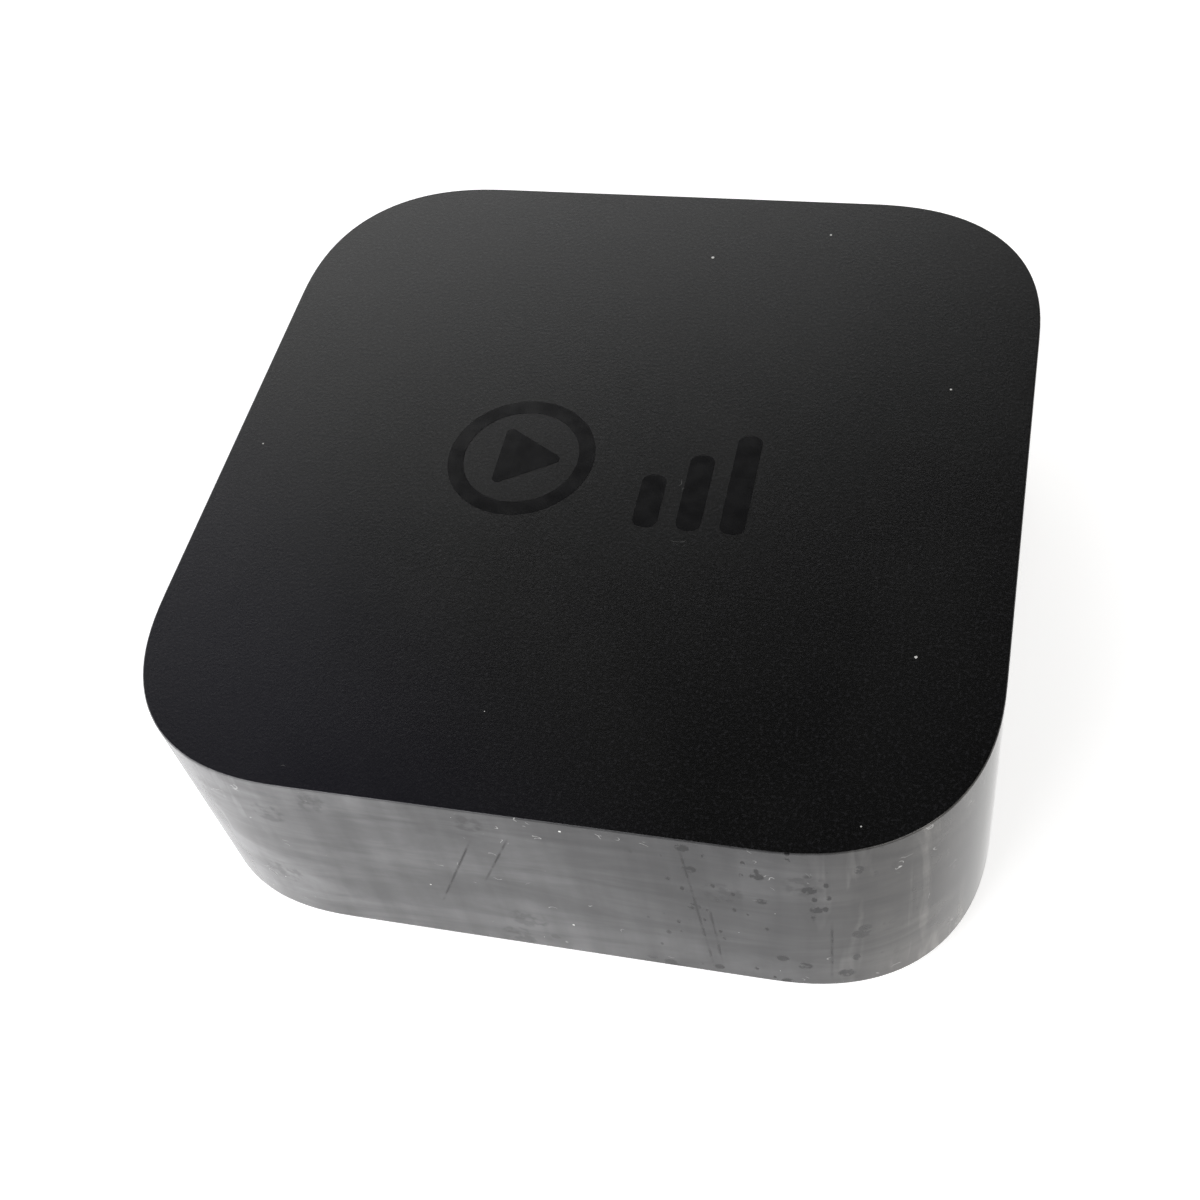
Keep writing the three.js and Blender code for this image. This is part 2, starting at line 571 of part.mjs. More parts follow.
function logicBoard() {
  const half = CAVITY - BOARD_GAP;
  const level = [BOARD_UNDERSIDE, BOARD_TOP];
  const room = [BOARD_UNDERSIDE - 1, BOARD_TOP + 1];
  const board = slab(softRectangle(half, half, CORNER - WALL - BOARD_GAP), level);
  const holes = screwHoles(POSTS, MAIN_SCREW, 2 * SCREW_GAP, room);
  const jackRoom = block(
    [JACK_X - JACK.width / 2 - FIT_GAP, JACK_X + JACK.width / 2 + FIT_GAP],
    [JACK_BACK - FIT_GAP, HALF],
    room,
  );
  const inletRoom = block(
    [INLET_X - INLET.width / 2 - FIT_GAP, INLET_X + INLET.width / 2 + FIT_GAP],
    [MOUTH - INLET.depth - FIT_GAP, HALF],
    room,
  );
  return cut(board, holes, jackRoom, inletRoom);
}

/** A flat package that lies on a board, or hangs under it if its height is negative. */
function chip(width, depth, height) {
  const level = height > 0 ? [0, height] : [height, 0];
  const lid = height > 0 ? [height * 0.7, height] : [height, height * 0.7];
  const body = block([-width / 2, width / 2], [-depth / 2, depth / 2], level);
  const step = 0.4;
  const inner = block([step - width / 2, width / 2 - step], [step - depth / 2, depth / 2 - step], lid);
  const outer = block([-width / 2, width / 2], [-depth / 2, depth / 2], lid);
  return cut(body, cut(outer, inner));
}

/** A pressed can with a drawn-in lid. */
function shieldCan(width, depth, height) {
  const shape = (inset) => softRectangle(width / 2 - inset, depth / 2 - inset, 1.4 - inset / 2, 3);
  return cut(
    join(slab(shape(0), [-height + 0.3, 0]), slab(shape(0.5), [-height, 0])),
    slab(shape(0.7), [-height + 0.3, 1]),
  );
}

function videoSocket() {
  const outer = slabAlongY(videoOutline(0), [MOUTH - VIDEO.depth, MOUTH]);
  const inner = slabAlongY(videoOutline(-VIDEO.wall), [MOUTH - VIDEO.depth + VIDEO.back, MOUTH + 1]);
  return cut(outer, inner);
}

const videoTongue = () => block(
  [VIDEO_X - VIDEO.width / 2 + 2.2, VIDEO_X + VIDEO.width / 2 - 2.2],
  [MOUTH - VIDEO.depth + VIDEO.back + SLIP_GAP, MOUTH - 1.2],
  [SOCKET_HEIGHT - VIDEO.tongue / 2 + 0.3, SOCKET_HEIGHT + VIDEO.tongue / 2 + 0.3],
);

const JACK_MOUTH = {
  x: [JACK_X - JACK.mouth / 2, JACK_X + JACK.mouth / 2],
  z: [
    SOCKET_HEIGHT - JACK_MOUTH_DROP - JACK.mouthHeight / 2,
    SOCKET_HEIGHT - JACK_MOUTH_DROP + JACK.mouthHeight / 2,
  ],
};

/** The network jack's plated case, with the keyway for the plug's latch over its mouth. */
function networkJack() {
  const body = slabAlongY(jackOutline(0), [JACK_BACK, MOUTH]);
  const depth = [MOUTH - JACK.cavity, MOUTH + 1];
  const mouth = block(JACK_MOUTH.x, depth, JACK_MOUTH.z);
  const keyway = (width, rise) =>
    block([JACK_X - width / 2, JACK_X + width / 2], depth, [JACK_MOUTH.z[1] - 0.5, JACK_MOUTH.z[1] + rise]);
  const reach = JACK.width / 2 + FIT_GAP + 1;
  const feet = block(
    [JACK_X - reach, JACK_X + reach],
    [JACK_BACK + 0.4, JACK_BACK + 2],
    [BOARD_TOP, BOARD_TOP + 0.5],
  );
  return cut(join(body, feet), mouth, keyway(LATCH.width, LATCH.rise), keyway(LATCH.tip, LATCH.tipRise));
}

/** The comb of contacts that lies in the floor of the jack. */
function networkContacts() {
  const floor = JACK_MOUTH.z[0];
  const back = MOUTH - JACK.cavity + SLIP_GAP;
  const count = 8;
  const pitch = 1.02;
  const bar = block([-4.6, 4.6], [back, back + 2], [floor + SLIP_GAP, floor + 1]);
  const fingers = Array.from({ length: count }, (_, i) => {
    const x = (i - (count - 1) / 2) * pitch;
    return block([x - 0.25, x + 0.25], [back + 1, back + 9], [floor + 0.5, floor + 0.9]);
  });
  return join(bar, fingers);
}

// ---------------------------------------------------------------- antennas and front electronics

const ANTENNA_LIFT = 3.5; // over the logic board
const ANTENNA_DROP = 4.3; // under the housing's top
const ANTENNA = {
  length: 30,
  height: CEILING - ANTENNA_DROP - BOARD_TOP - ANTENNA_LIFT,
  thick: 0.3,
  y: -2,
  z: BOARD_TOP + ANTENNA_LIFT,
};

/** A stamped strip aerial with a slot in it and a bent foot, for the wall on one side. */
function antenna(side) {
  const across = (reach) => [0, -side * reach].sort((a, b) => a - b);
  const end = ANTENNA.length / 2;
  const plate = block(across(ANTENNA.thick), [-end, end], [0, ANTENNA.height]);
  const slot = block([-1, 1], [4 - end, end + 1], [ANTENNA.height * 0.45, ANTENNA.height * 0.7]);
  const foot = block(across(2), [-end, 3 - end], [0, ANTENNA.thick]);
  return join(cut(plate, slot), foot);
}

const WIRELESS = { width: 7, depth: 13, height: 1.8, y: 6 };
const WIRELESS_X = CAVITY - BOARD_GAP - WIRELESS.width / 2 - 2.6;

/** A thin lead from the wireless module to the aerial on one side. */
function antennaLead(side) {
  const wall = side * (CAVITY - ANTENNA.thick - 1.4);
  const y = ANTENNA.y - ANTENNA.length / 2 + 1.5;
  const level = BOARD_TOP + 0.8;
  const start = WIRELESS.y - WIRELESS.depth / 2 - 0.1;
  const toLeft = [
    [-WIRELESS_X - 1.8, start, level],
    [-WIRELESS_X - 1.8, start - 4, level],
  ];
  const toRight = [
    [-WIRELESS_X + 1.8, start, level],
    [-WIRELESS_X + 1.2, -POST.y * 0.5, level],
    [-SUPPLY.half + 3, SUPPLY.front - 2.5, level],
    [0, SUPPLY.front - 4.5, level],
    [SUPPLY.half - 3, SUPPLY.front - 2.5, level],
    [SUPPLY.half + 5.5, -POST.y * 0.62, level],
  ];
  const end = [
    [wall, y, level + 0.6],
    [wall, y, ANTENNA.z - 0.1],
  ];
  return tube([...(side < 0 ? toLeft : toRight), ...end], 0.5, side < 0 ? 10 : 30);
}

const FRONT_BOARD = { width: 22, height: 9, thick: 0.8, y: 6 - CAVITY };
const RECEIVER = { width: 6, height: 5.4, depth: 3.6 };
const LIGHT = { width: 2.6, height: 1.8, depth: 1.0 };

const frontBoard = () => block(
  [-FRONT_BOARD.width / 2, FRONT_BOARD.width / 2],
  [0, FRONT_BOARD.thick],
  [0, FRONT_BOARD.height],
);

/** The infrared receiver: a small case with a round lens that faces the front wall. */
function infraredReceiver() {
  const body = block([-RECEIVER.width / 2, RECEIVER.width / 2], [-RECEIVER.depth, 0], [0, RECEIVER.height]);
  const lens = new THREE.CylinderGeometry(1.5, 2, 1, 16).translate(0, RECEIVER.depth + 0.45, 0);
  return join(body, solid(lens.rotateX(Math.PI).translate(0, 0, RECEIVER.height / 2)));
}

const statusLight = () =>
  block([-LIGHT.width / 2, LIGHT.width / 2], [-LIGHT.depth, 0], [0, LIGHT.height]);

/** The clear rod that carries the light to the thin part of the wall. */
function lightPipe() {
  const length = FRONT_BOARD.y - LIGHT.depth - 2 * SLIP_GAP - (WINDOW.skin - HALF);
  const pipe = new THREE.CylinderGeometry(1, 1.3, length - SLIP_GAP, 16);
  return solid(pipe.rotateX(Math.PI).translate(0, -length / 2, 0));
}

// ---------------------------------------------------------------- power supply

function supplyBoard() {
  const level = [SUPPLY_UNDERSIDE, SUPPLY_TOP];
  const middle = (SUPPLY.rear + SUPPLY.front) / 2;
  const shape = softRectangle(SUPPLY.half, (SUPPLY.rear - SUPPLY.front) / 2, 3, 3);
  const board = solid(new THREE.ExtrudeGeometry(shape, { depth: BOARD, bevelEnabled: false })
    .translate(0, middle, level[0]));
  const holes = screwHoles(SUPPLY_POSTS, FAN_SCREW, SCREW_GAP, [level[0] - 1, level[1] + 1]);
  const tails = [-1, 1].map((side) => rod(
    PIN.tail + FIT_GAP,
    [level[0] - 1, level[1] + 1],
    [INLET_X + (side * INLET.pitch) / 2, SOLDER_Y],
    SMALL,
  ));
  return cut(board, holes, tails);
}

function supplyInsulator() {
  const level = [BOARD_TOP + 1.6, BOARD_TOP + 1.6 + INSULATOR];
  const sheet = block([-SUPPLY.half + 1, SUPPLY.half - 1], [SUPPLY.front + 1, SUPPLY.rear], level);
  const room = [level[0] - 1, level[1] + 1];
  const posts = POWER_POSTS.map((at) => rod(POWER_POST_RADIUS + FIT_GAP, room, at, SMALL));
  return cut(sheet, posts);
}

/** The mains inlet: a moulded block with a two-lobed well for the plug. */
function powerInlet() {
  const body = block(
    [INLET_X - INLET.width / 2, INLET_X + INLET.width / 2],
    [MOUTH - INLET.depth, INLET_FACE],
    [SOCKET_HEIGHT - INLET.height / 2, SOCKET_HEIGHT + INLET.height / 2],
  );
  const nose = slabAlongY(inletOutline(0), [INLET_FACE - 1, MOUTH]);
  const well = slabAlongY(inletOutline(-0.6), [MOUTH - INLET.cavity, MOUTH + 1]);
  const bores = [-1, 1].map((side) => slabAlongY(
    rectangle(INLET_X + (side * INLET.pitch) / 2, SOCKET_HEIGHT, 1.2, 1.2),
    [MOUTH - INLET.depth - 1, MOUTH - INLET.cavity + 1],
  ));
  return cut(join(body, nose), well, bores);
}

/** A round contact pin, with a thin tail that runs back and turns up through the supply board. */
function inletPin() {
  const length = INLET.cavity - 2.5;
  const tail = MOUTH - INLET.cavity - SOLDER_Y;
  const pin = new THREE.LatheGeometry([
    new THREE.Vector2(0, -tail),
    new THREE.Vector2(PIN.tail, -tail),
    new THREE.Vector2(PIN.tail, SLIP_GAP),
    new THREE.Vector2(PIN.radius, SLIP_GAP),
    new THREE.Vector2(PIN.radius, length - 0.6),
    new THREE.Vector2(PIN.radius - 0.6, length),
    new THREE.Vector2(0, length),
  ], 12);
  const end = rod(PIN.tail, [-0.2, SUPPLY_TOP + TAIL_RISE - SOCKET_HEIGHT], [0, -tail], SMALL);
  return join(solid(pin), end);
}

const TRANSFORMER = { width: 22, depth: 19, core: 6, height: HEADROOM, foot: 1, side: 3, leg: 4, gap: 0.1 };
const YOKE = ((TRANSFORMER.height - TRANSFORMER.foot) * 3) / 13; // a core's closed ends grow with its height

/** Two E cores closed on each other: a rectangular frame around the winding. */
function transformerCore() {
  const { width, core, height, foot, side, leg } = TRANSFORMER;
  const outer = block([-width / 2, width / 2], [-core, core], [foot, height]);
  const windows = [-1, 1].map((hand) => {
    const x = [hand * leg, hand * (width / 2 - side)].sort((a, b) => a - b);
    return block(x, [-core - 1, core + 1], [foot + YOKE, height - YOKE]);
  });
  return cut(outer, windows);
}

/** The wound bobbin that fills the core's window and stands out at both ends. */
function transformerWinding() {
  const { width, depth, core, height, foot, side, leg, gap } = TRANSFORMER;
  const x = width / 2 - side - gap;
  const inside = [foot + YOKE + gap, height - YOKE - gap];
  const coil = block([-x, x], [-depth / 2, depth / 2], inside);
  const hole = block([-leg - gap, leg + gap], [-core - gap, core + gap], [0, height]);
  const pinRow = [-1, 1].map((hand) => {
    const y = [hand * (depth / 2 - side), (hand * depth) / 2].sort((a, b) => a - b);
    return block([-x, x], y, [0, inside[0] + foot]);
  });
  return join(cut(coil, hole), pinRow);
}

const BULK = { diameter: HEADROOM - 1, length: 18, apart: 1.1 };

/** From the row of pin tails to a lying can's axis, so that the can's side passes over the tails. */
function clearOfTails(radius) {
  const rise = TAIL_RISE + TAIL_GAP;
  return PIN.tail + Math.sqrt(2 * radius * rise - rise * rise);
}

/** A can capacitor with a rolled bead near its open end. */
function capacitor(radius, length) {
  const bead = Math.min(0.35, radius * 0.1);
  return solid(new THREE.LatheGeometry([
    new THREE.Vector2(0, 0),
    new THREE.Vector2(radius - bead, 0),
    new THREE.Vector2(radius, bead),
    new THREE.Vector2(radius, length * 0.1),
    new THREE.Vector2(radius - bead, length * 0.14),
    new THREE.Vector2(radius, length * 0.18),
    new THREE.Vector2(radius, length - bead),
    new THREE.Vector2(radius - bead, length),
    new THREE.Vector2(0, length),
  ], MEDIUM));
}

const OUTPUT_CAPACITOR = { radius: 3.5, length: HEADROOM - 0.5 };
const CHOKE = { width: 13, depth: 11, height: HEADROOM - 0.5 };

/** A common-mode choke: two windings side by side on a square core. */
function filterChoke() {
  const { width, depth, height } = CHOKE;
  const core = block([-width / 2, width / 2], [-2, 2], [1, height]);
  const coils = [-1, 1].map((side) => {
    const x = [side * 0.6, side * (width / 2 - 0.8)].sort((a, b) => a - b);
    return block(x, [-depth / 2, depth / 2], [2.2, height - 1.2]);
  });
  const base = block([-width / 2, width / 2], [-depth / 2, depth / 2], [0, 1.2]);
  return join(core, coils, base);
}

const FUSE = { radius: 2.2, length: 9 };

/** The moulded box of a film capacitor, on two short standoffs. */
function filmCapacitor() {
  const box = block([-6.5, 6.5], [-3, 3], [0.5, HEADROOM - 1]);
  const standoffs = [-1, 1].map((side) => block([side * 4 - 1, side * 4 + 1], [-3, 3], [0, 1]));
  return join(box, standoffs);
}

/** A ring inductor that lies flat, with its turns as ridges. */
function outputInductor() {
  const turns = 10;
  const core = ring(5, 2, [0.6, 5]);
  const ridges = around(() => block([1.6, 5.4], [-0.45, 0.45], [0.2, 5.4]), turns);
  return join(core, ridges);
}

function heatSpreader() {
  const fin = block([-0.6, 0.6], [-9, 9], [0, HEADROOM - 1]);
  return join(fin, block([-0.6, 5], [-6, 6], [HEADROOM - 2.2, HEADROOM - 1]));
}

// ---------------------------------------------------------------- assembly

const player = new THREE.Group();

function enclosureGroup() {
  const group = new THREE.Group();
  piece('housing', housing(), FINISHES.housing, group);
  piece('base_cover', baseCover(), FINISHES.blackPlastic, group);
  piece('foot_pad', footPad(), FINISHES.rubber, group);
  return group;
}

function fanGroup() {
  const group = new THREE.Group();
  piece('fan_frame', fanFrame(), FINISHES.fanPlastic, group);
  piece('fan_cover', fanCover(), FINISHES.steel, group);
  piece('fan_bearing', fanBearing(), FINISHES.brass, group);
  piece('fan_stator', fanStator(), FINISHES.copper, group);
  piece('fan_impeller', fanImpeller(), FINISHES.fanPlastic, group);
  piece('fan_magnet', fanMagnet(), FINISHES.magnet, group);
  piece('fan_shaft', fanShaft(), FINISHES.springSteel, group);
  piece('fan_flex', fanFlex(), FINISHES.flex, group);
  piece('fan_socket', fanSocket(), FINISHES.insulator, group,
    [-FLEX.x + 0.4 + SLIP_GAP, 0, BOARD_UNDERSIDE]);
  EARS.forEach(([x, y], i) => {
    const fixing = screw(FAN_SCREW, EAR + COVER_PLATE + FAN_SCREW.grip);
    piece(`fan_screw_${i + 1}`, fixing, FINISHES.steel, group, [x, y, FAN_TOP - EAR]);
  });
  return group;
}

function coolingGroup() {
  const group = new THREE.Group();
  piece('heat_sink', heatSink(), FINISHES.aluminium, group);
  piece('thermal_pad', thermalPad(), FINISHES.thermalPad, group);
  POSTS.forEach(([x, y], i) => {
    const fixing = screw(MAIN_SCREW, BOARD_TOP - PLATE_FLOOR + MAIN_SCREW.grip);
    piece(`main_screw_${i + 1}`, fixing, FINISHES.steel, group, [x, y, PLATE_FLOOR]);
  });
  return group;
}

function logicGroup() {
  const group = new THREE.Group();
  const under = BOARD_UNDERSIDE;
  piece('logic_board', logicBoard(), FINISHES.logicBoard, group);
  piece('processor', chip(PROCESSOR.size, PROCESSOR.size, -PROCESSOR.height), FINISHES.chip, group,
    [0, 0, under]);
  piece('storage_chip', chip(12, 14, -1), FINISHES.chip, group, [-18, -12, under]);
  piece('board_shield', shieldCan(20, 16, 1.3), FINISHES.steel, group, [19, -14, under]);
  piece('wireless_module', chip(WIRELESS.width, WIRELESS.depth, WIRELESS.height), FINISHES.steel, group,
    [-WIRELESS_X, WIRELESS.y, BOARD_TOP]);
  piece('video_socket', videoSocket(), FINISHES.springSteel, group);
  piece('video_tongue', videoTongue(), FINISHES.blackPlastic, group);
  piece('network_jack', networkJack(), FINISHES.springSteel, group);
  piece('network_contacts', networkContacts(), FINISHES.brass, group, [JACK_X, 0, 0]);
  return group;
}

function antennaGroup() {
  const group = new THREE.Group();
  const wall = CAVITY - SLIP_GAP;
  piece('antenna_right', antenna(1), FINISHES.copper, group, [wall, ANTENNA.y, ANTENNA.z]);
  piece('antenna_left', antenna(-1), FINISHES.copper, group, [-wall, ANTENNA.y, ANTENNA.z]);
  piece('antenna_lead_right', antennaLead(1), FINISHES.sleeve, group);
  piece('antenna_lead_left', antennaLead(-1), FINISHES.sleeve, group);
  return group;
}

function frontGroup() {
  const group = new THREE.Group();
  group.position.set(0, FRONT_BOARD.y, BOARD_TOP);
  const middle = 1 + WINDOW.height / 2;
  piece('front_board', frontBoard(), FINISHES.logicBoard, group);
  piece('infrared_receiver', infraredReceiver(), FINISHES.sleeve, group,
    [-4, -SLIP_GAP, middle - RECEIVER.height / 2]);
  piece('status_light', statusLight(), FINISHES.lens, group, [5, -SLIP_GAP, middle - LIGHT.height / 2]);
  piece('light_pipe', lightPipe(), FINISHES.lens, group, [5, -LIGHT.depth - 2 * SLIP_GAP, middle]);
  return group;
}

function supplyGroup() {
  const group = new THREE.Group();
  const { half, front, rear } = SUPPLY;
  const on = (x, y) => [x, y, SUPPLY_TOP];
  piece('supply_board', supplyBoard(), FINISHES.supplyBoard, group);
  piece('supply_insulator', supplyInsulator(), FINISHES.insulator, group);
  piece('power_inlet', powerInlet(), FINISHES.blackPlastic, group);
  [-1, 1].forEach((side, i) => {
    const at = [INLET_X + (side * INLET.pitch) / 2, MOUTH - INLET.cavity, SOCKET_HEIGHT];
    piece(`inlet_pin_${i + 1}`, inletPin(), FINISHES.springSteel, group, at);
  });
  const middle = (front + rear) / 2;
  piece('transformer_core', transformerCore(), FINISHES.ferrite, group, on(-half + 19, middle + 2));
  piece('transformer_winding', transformerWinding(), FINISHES.tape, group, on(-half + 19, middle + 2));
  [0, 1].forEach((i) => {
    const can = capacitor(BULK.diameter / 2, BULK.length);
    const y = SOLDER_Y - clearOfTails(BULK.diameter / 2) - i * (BULK.diameter + BULK.apart);
    const at = [half - BULK.length - 2, y, SUPPLY_TOP + BULK.diameter / 2];
    const lying = piece(`bulk_capacitor_${i + 1}`, can, FINISHES.sleeve, group, at);
    lying.rotation.z = -Math.PI / 2;
  });
  piece('filter_choke', filterChoke(), FINISHES.copper, group, on(half - 13, front + 8));
  piece('x_capacitor', filmCapacitor(), FINISHES.filmBox, group, on(-half + 14, rear - 4));
  const fuse = piece('fuse', capacitor(FUSE.radius, FUSE.length), FINISHES.fuse, group,
    [-half + 23.5, rear - 2, SUPPLY_TOP + FUSE.radius + SLIP_GAP]);
  fuse.rotation.z = Math.PI;
  [10, 18].forEach((along, i) => {
    const can = capacitor(OUTPUT_CAPACITOR.radius, OUTPUT_CAPACITOR.length);
    const place = on(-half + along, front + 6);
    const standing = piece(`output_capacitor_${i + 1}`, can, FINISHES.sleeve, group, place);
    standing.rotation.x = Math.PI / 2;
  });
  piece('output_inductor', outputInductor(), FINISHES.copper, group, on(half - 26, front + 7));
  piece('heat_spreader', heatSpreader(), FINISHES.aluminium, group, on(-half + 2.2, middle + 2));
  POWER_POSTS.forEach(([x, y], i) => {
    const post = rod(POWER_POST_RADIUS, [0, SUPPLY_LIFT], [0, 0], 6);
    piece(`power_post_${i + 1}`, post, FINISHES.brass, group, [x, y, BOARD_TOP]);
  });
  SUPPLY_POSTS.forEach(([x, y], i) => {
    const fixing = screw(FAN_SCREW, BOARD + FAN_SCREW.grip);
    piece(`supply_screw_${i + 1}`, fixing, FINISHES.steel, group, [x, y, SUPPLY_UNDERSIDE]);
  });
  return group;
}

player.add(
  enclosureGroup(),
  fanGroup(),
  coolingGroup(),
  logicGroup(),
  antennaGroup(),
  frontGroup(),
  supplyGroup(),
);

export default player;
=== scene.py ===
"""A square streaming media player, built around its packed frame.

The housing, foot, sockets, fan and fasteners are fine meshes. The boards and the blocks on them are
the frame's own solids, with softened edges. Every length is in metres.
"""

import functools
import math

import bmesh
import bpy
from bpy.props import FloatProperty, FloatVectorProperty, IntProperty, PointerProperty
from mathutils import Matrix, Vector


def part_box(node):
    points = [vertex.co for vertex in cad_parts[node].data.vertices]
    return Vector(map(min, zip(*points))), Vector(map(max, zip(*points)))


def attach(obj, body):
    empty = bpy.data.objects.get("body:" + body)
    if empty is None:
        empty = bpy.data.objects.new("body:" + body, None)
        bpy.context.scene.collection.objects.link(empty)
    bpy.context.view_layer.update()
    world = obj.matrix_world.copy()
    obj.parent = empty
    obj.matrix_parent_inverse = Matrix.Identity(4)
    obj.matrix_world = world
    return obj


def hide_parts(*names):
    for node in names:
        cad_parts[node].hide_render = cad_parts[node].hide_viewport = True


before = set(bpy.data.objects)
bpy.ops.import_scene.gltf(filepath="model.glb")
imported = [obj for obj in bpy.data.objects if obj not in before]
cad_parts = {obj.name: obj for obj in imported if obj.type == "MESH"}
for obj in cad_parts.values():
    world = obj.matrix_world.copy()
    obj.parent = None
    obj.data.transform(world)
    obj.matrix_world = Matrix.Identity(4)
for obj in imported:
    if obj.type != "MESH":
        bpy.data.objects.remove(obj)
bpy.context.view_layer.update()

bl_info = {
    "name": "Streaming media player",
    "version": (1, 0, 0),
    "blender": (4, 5, 0),
    "location": "3D View > Sidebar > Media player",
    "description": "Builds a square streaming media player around its packed frame",
    "category": "Object",
}

MM = 0.001
# How far a cutter goes past the face that it opens.
PAST = 1.0 * MM
# Edges that turn more than this stay sharp.
SHARP = math.radians(32)
PLAYER = "player"
ROTOR = "fan_rotor"

HOUSING_LOW, HOUSING_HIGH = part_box("housing")
COVER_LOW, COVER_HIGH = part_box("base_cover")
PAD_LOW, PAD_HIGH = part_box("foot_pad")
INLET_LOW, INLET_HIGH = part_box("power_inlet")
JACK_LOW, JACK_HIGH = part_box("network_jack")
VIDEO_LOW, VIDEO_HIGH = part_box("video_socket")
BOARD_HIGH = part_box("logic_board")[1]
SUPPLY_LOW, SUPPLY_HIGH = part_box("supply_board")

HALF = HOUSING_HIGH.x
TOP = HOUSING_HIGH.z
RIM = HOUSING_LOW.z
SNAP_HEIGHT = 5.0 * MM
SEAT = COVER_HIGH.z - SNAP_HEIGHT
FIT = 0.3 * MM
TAB_WIDTH = 8.0 * MM
TAB_PITCH = 34.0 * MM
TAB_HOOK = 1.6 * MM

MOUTH = INLET_HIGH.y
INLET_FACE = HALF - 4.2 * MM
SOCKET_HEIGHT = (INLET_LOW.z + INLET_HIGH.z) / 2
INLET_X = (INLET_LOW.x + INLET_HIGH.x) / 2
JACK_X = (JACK_LOW.x + JACK_HIGH.x) / 2
VIDEO_X = (VIDEO_LOW.x + VIDEO_HIGH.x) / 2
INLET_DEPTH = 12.0 * MM
JACK_CASE = (16.0 * MM, 13.4 * MM)
SHAFT_BORE = 1.05 * MM

SQUARE = ((1, 1), (-1, 1), (-1, -1), (1, -1))
# Scratches on the front wall: X at the foot, lean, lower end and upper end, in millimetres.
HAIRLINES = (
    (19.5, -0.05, 4, 34),
    (20.6, -0.03, 5, 22),
    (-6, 0.42, 18, 31),
    (-12.6, 0.41, 11, 29),
    (33, 0.02, 4, 20),
)
MAIN_SCREWS = [f"main_screw_{i}" for i in (1, 2, 3, 4)]
FAN_SCREWS = [f"fan_screw_{i}" for i in (1, 2, 3, 4)]
SUPPLY_SCREWS = [f"supply_screw_{i}" for i in (1, 2, 3)]
# A screw's node, its post's radius, its bore and the height of the post's foot.
POSTS = [(node, 3.2 * MM, 1.45 * MM, BOARD_HIGH.z) for node in MAIN_SCREWS]
POSTS += [(node, 2.7 * MM, 1.15 * MM, SUPPLY_HIGH.z) for node in SUPPLY_SCREWS]
# Shank radius, head radius, head height and thread pitch.
MAIN_SCREW = (1.3 * MM, 2.6 * MM, 1.6 * MM, 0.7 * MM)
SMALL_SCREW = (1.0 * MM, 1.9 * MM, 1.2 * MM, 0.5 * MM)
SHELL_FINISHES = ("gloss_wall", "matte_top", "inner_plastic")


# ---------------------------------------------------------------------------------------------- settings


def length(name, description, default):
    return FloatProperty(name=name, description=description, default=default, unit="LENGTH", precision=5)


def tint(name, description, default):
    return FloatVectorProperty(
        name=name, description=description, default=default, subtype="COLOR", size=3, min=0, max=1
    )


def angle(name, description, degrees):
    return FloatProperty(
        name=name, description=description, default=math.radians(degrees), unit="ROTATION", subtype="ANGLE"
    )


class HousingSettings(bpy.types.PropertyGroup):
    """Sizes and colours of the housing and the inlay on its top."""

    corner: length("Corner reach", "How far a corner's curve reaches along each side", 23.6 * MM)
    corner_power: FloatProperty(
        name="Corner power", description="2 is a round corner, and more is squarer", default=2.42, min=2
    )
    corner_steps: IntProperty(name="Corner steps", description="Straight pieces in a corner", default=28, min=4)
    edge: length("Edge radius", "Rounding between the top and the walls", 0.24 * MM)
    wall: length("Wall", "Thickness of the walls", 2.4 * MM)
    ceiling: length("Top thickness", "Thickness of the top", 2.6 * MM)
    rabbet: length("Rabbet", "Step inside the rim for the base cover", 1.0 * MM)
    mouth_lip: length("Mouth chamfer", "Chamfer around each socket's opening", 0.25 * MM)
    inlay_drop: length("Inlay height", "How far the inlay stands over the top face", 0.02 * MM)
    inlay_ring: length("Inlay ring radius", "Outer radius of the ring in the inlay", 9.2 * MM)
    inlay_line: length("Inlay line", "Width of the ring and of the bars", 2.0 * MM)
    top_colour: tint("Top colour", "Fine matte plastic of the top", (0.0016, 0.0016, 0.0018))
    wall_colour: tint("Wall colour", "Polished plastic of the walls", (0.008, 0.008, 0.009))
    # The film's colour is dust, and it also carries painted reflection brightness on the walls.
    film_and_sheen_colour: tint("Film colour", "Handling marks and dust on the walls", (0.215, 0.216, 0.220))


class BaseSettings(bpy.types.PropertyGroup):
    """Sizes of the foot tray and its rubber ring."""

    tray_inset: length("Tray inset", "From the housing's outside to the tray's wall", 7.0 * MM)
    tray_wall: length("Tray wall", "Thickness of the tray's wall", 1.6 * MM)
    tray_floor: length("Tray floor", "Thickness of the tray's floor", 1.2 * MM)
    flange: length("Flange", "Thickness of the flange that closes the housing", 1.4 * MM)
    vent_width: length("Vent width", "Length of a vent slot along the wall", 6.0 * MM)
    vent_height: length("Vent height", "Height of a vent slot", 1.0 * MM)
    vent_pitch: length("Vent pitch", "From one vent slot to the next", 8.6 * MM)
    vent_count: IntProperty(name="Vents per side", description="Vent slots on each side", default=6, min=1)
    colour: tint("Cover colour", "Moulded plastic of the base cover", (0.016, 0.016, 0.017))
    rubber_colour: tint("Rubber colour", "Rubber of the foot ring", (0.026, 0.026, 0.027))


class FanSettings(bpy.types.PropertyGroup):
    """Sizes of the impeller and its fasteners."""

    blades: IntProperty(name="Blades", description="Blades on the impeller", default=19, min=3)
    blade: length("Blade thickness", "Thickness of a blade", 0.8 * MM)
    sweep: angle("Blade sweep", "How far a blade leans back from root to tip", 38)
    hub: length("Hub radius", "Outer radius of the hub", 11.0 * MM)
    hub_wall: length("Hub wall", "Wall of the hub", 1.3 * MM)
    colour: tint("Fan colour", "Moulded plastic of the fan", (0.020, 0.021, 0.023))


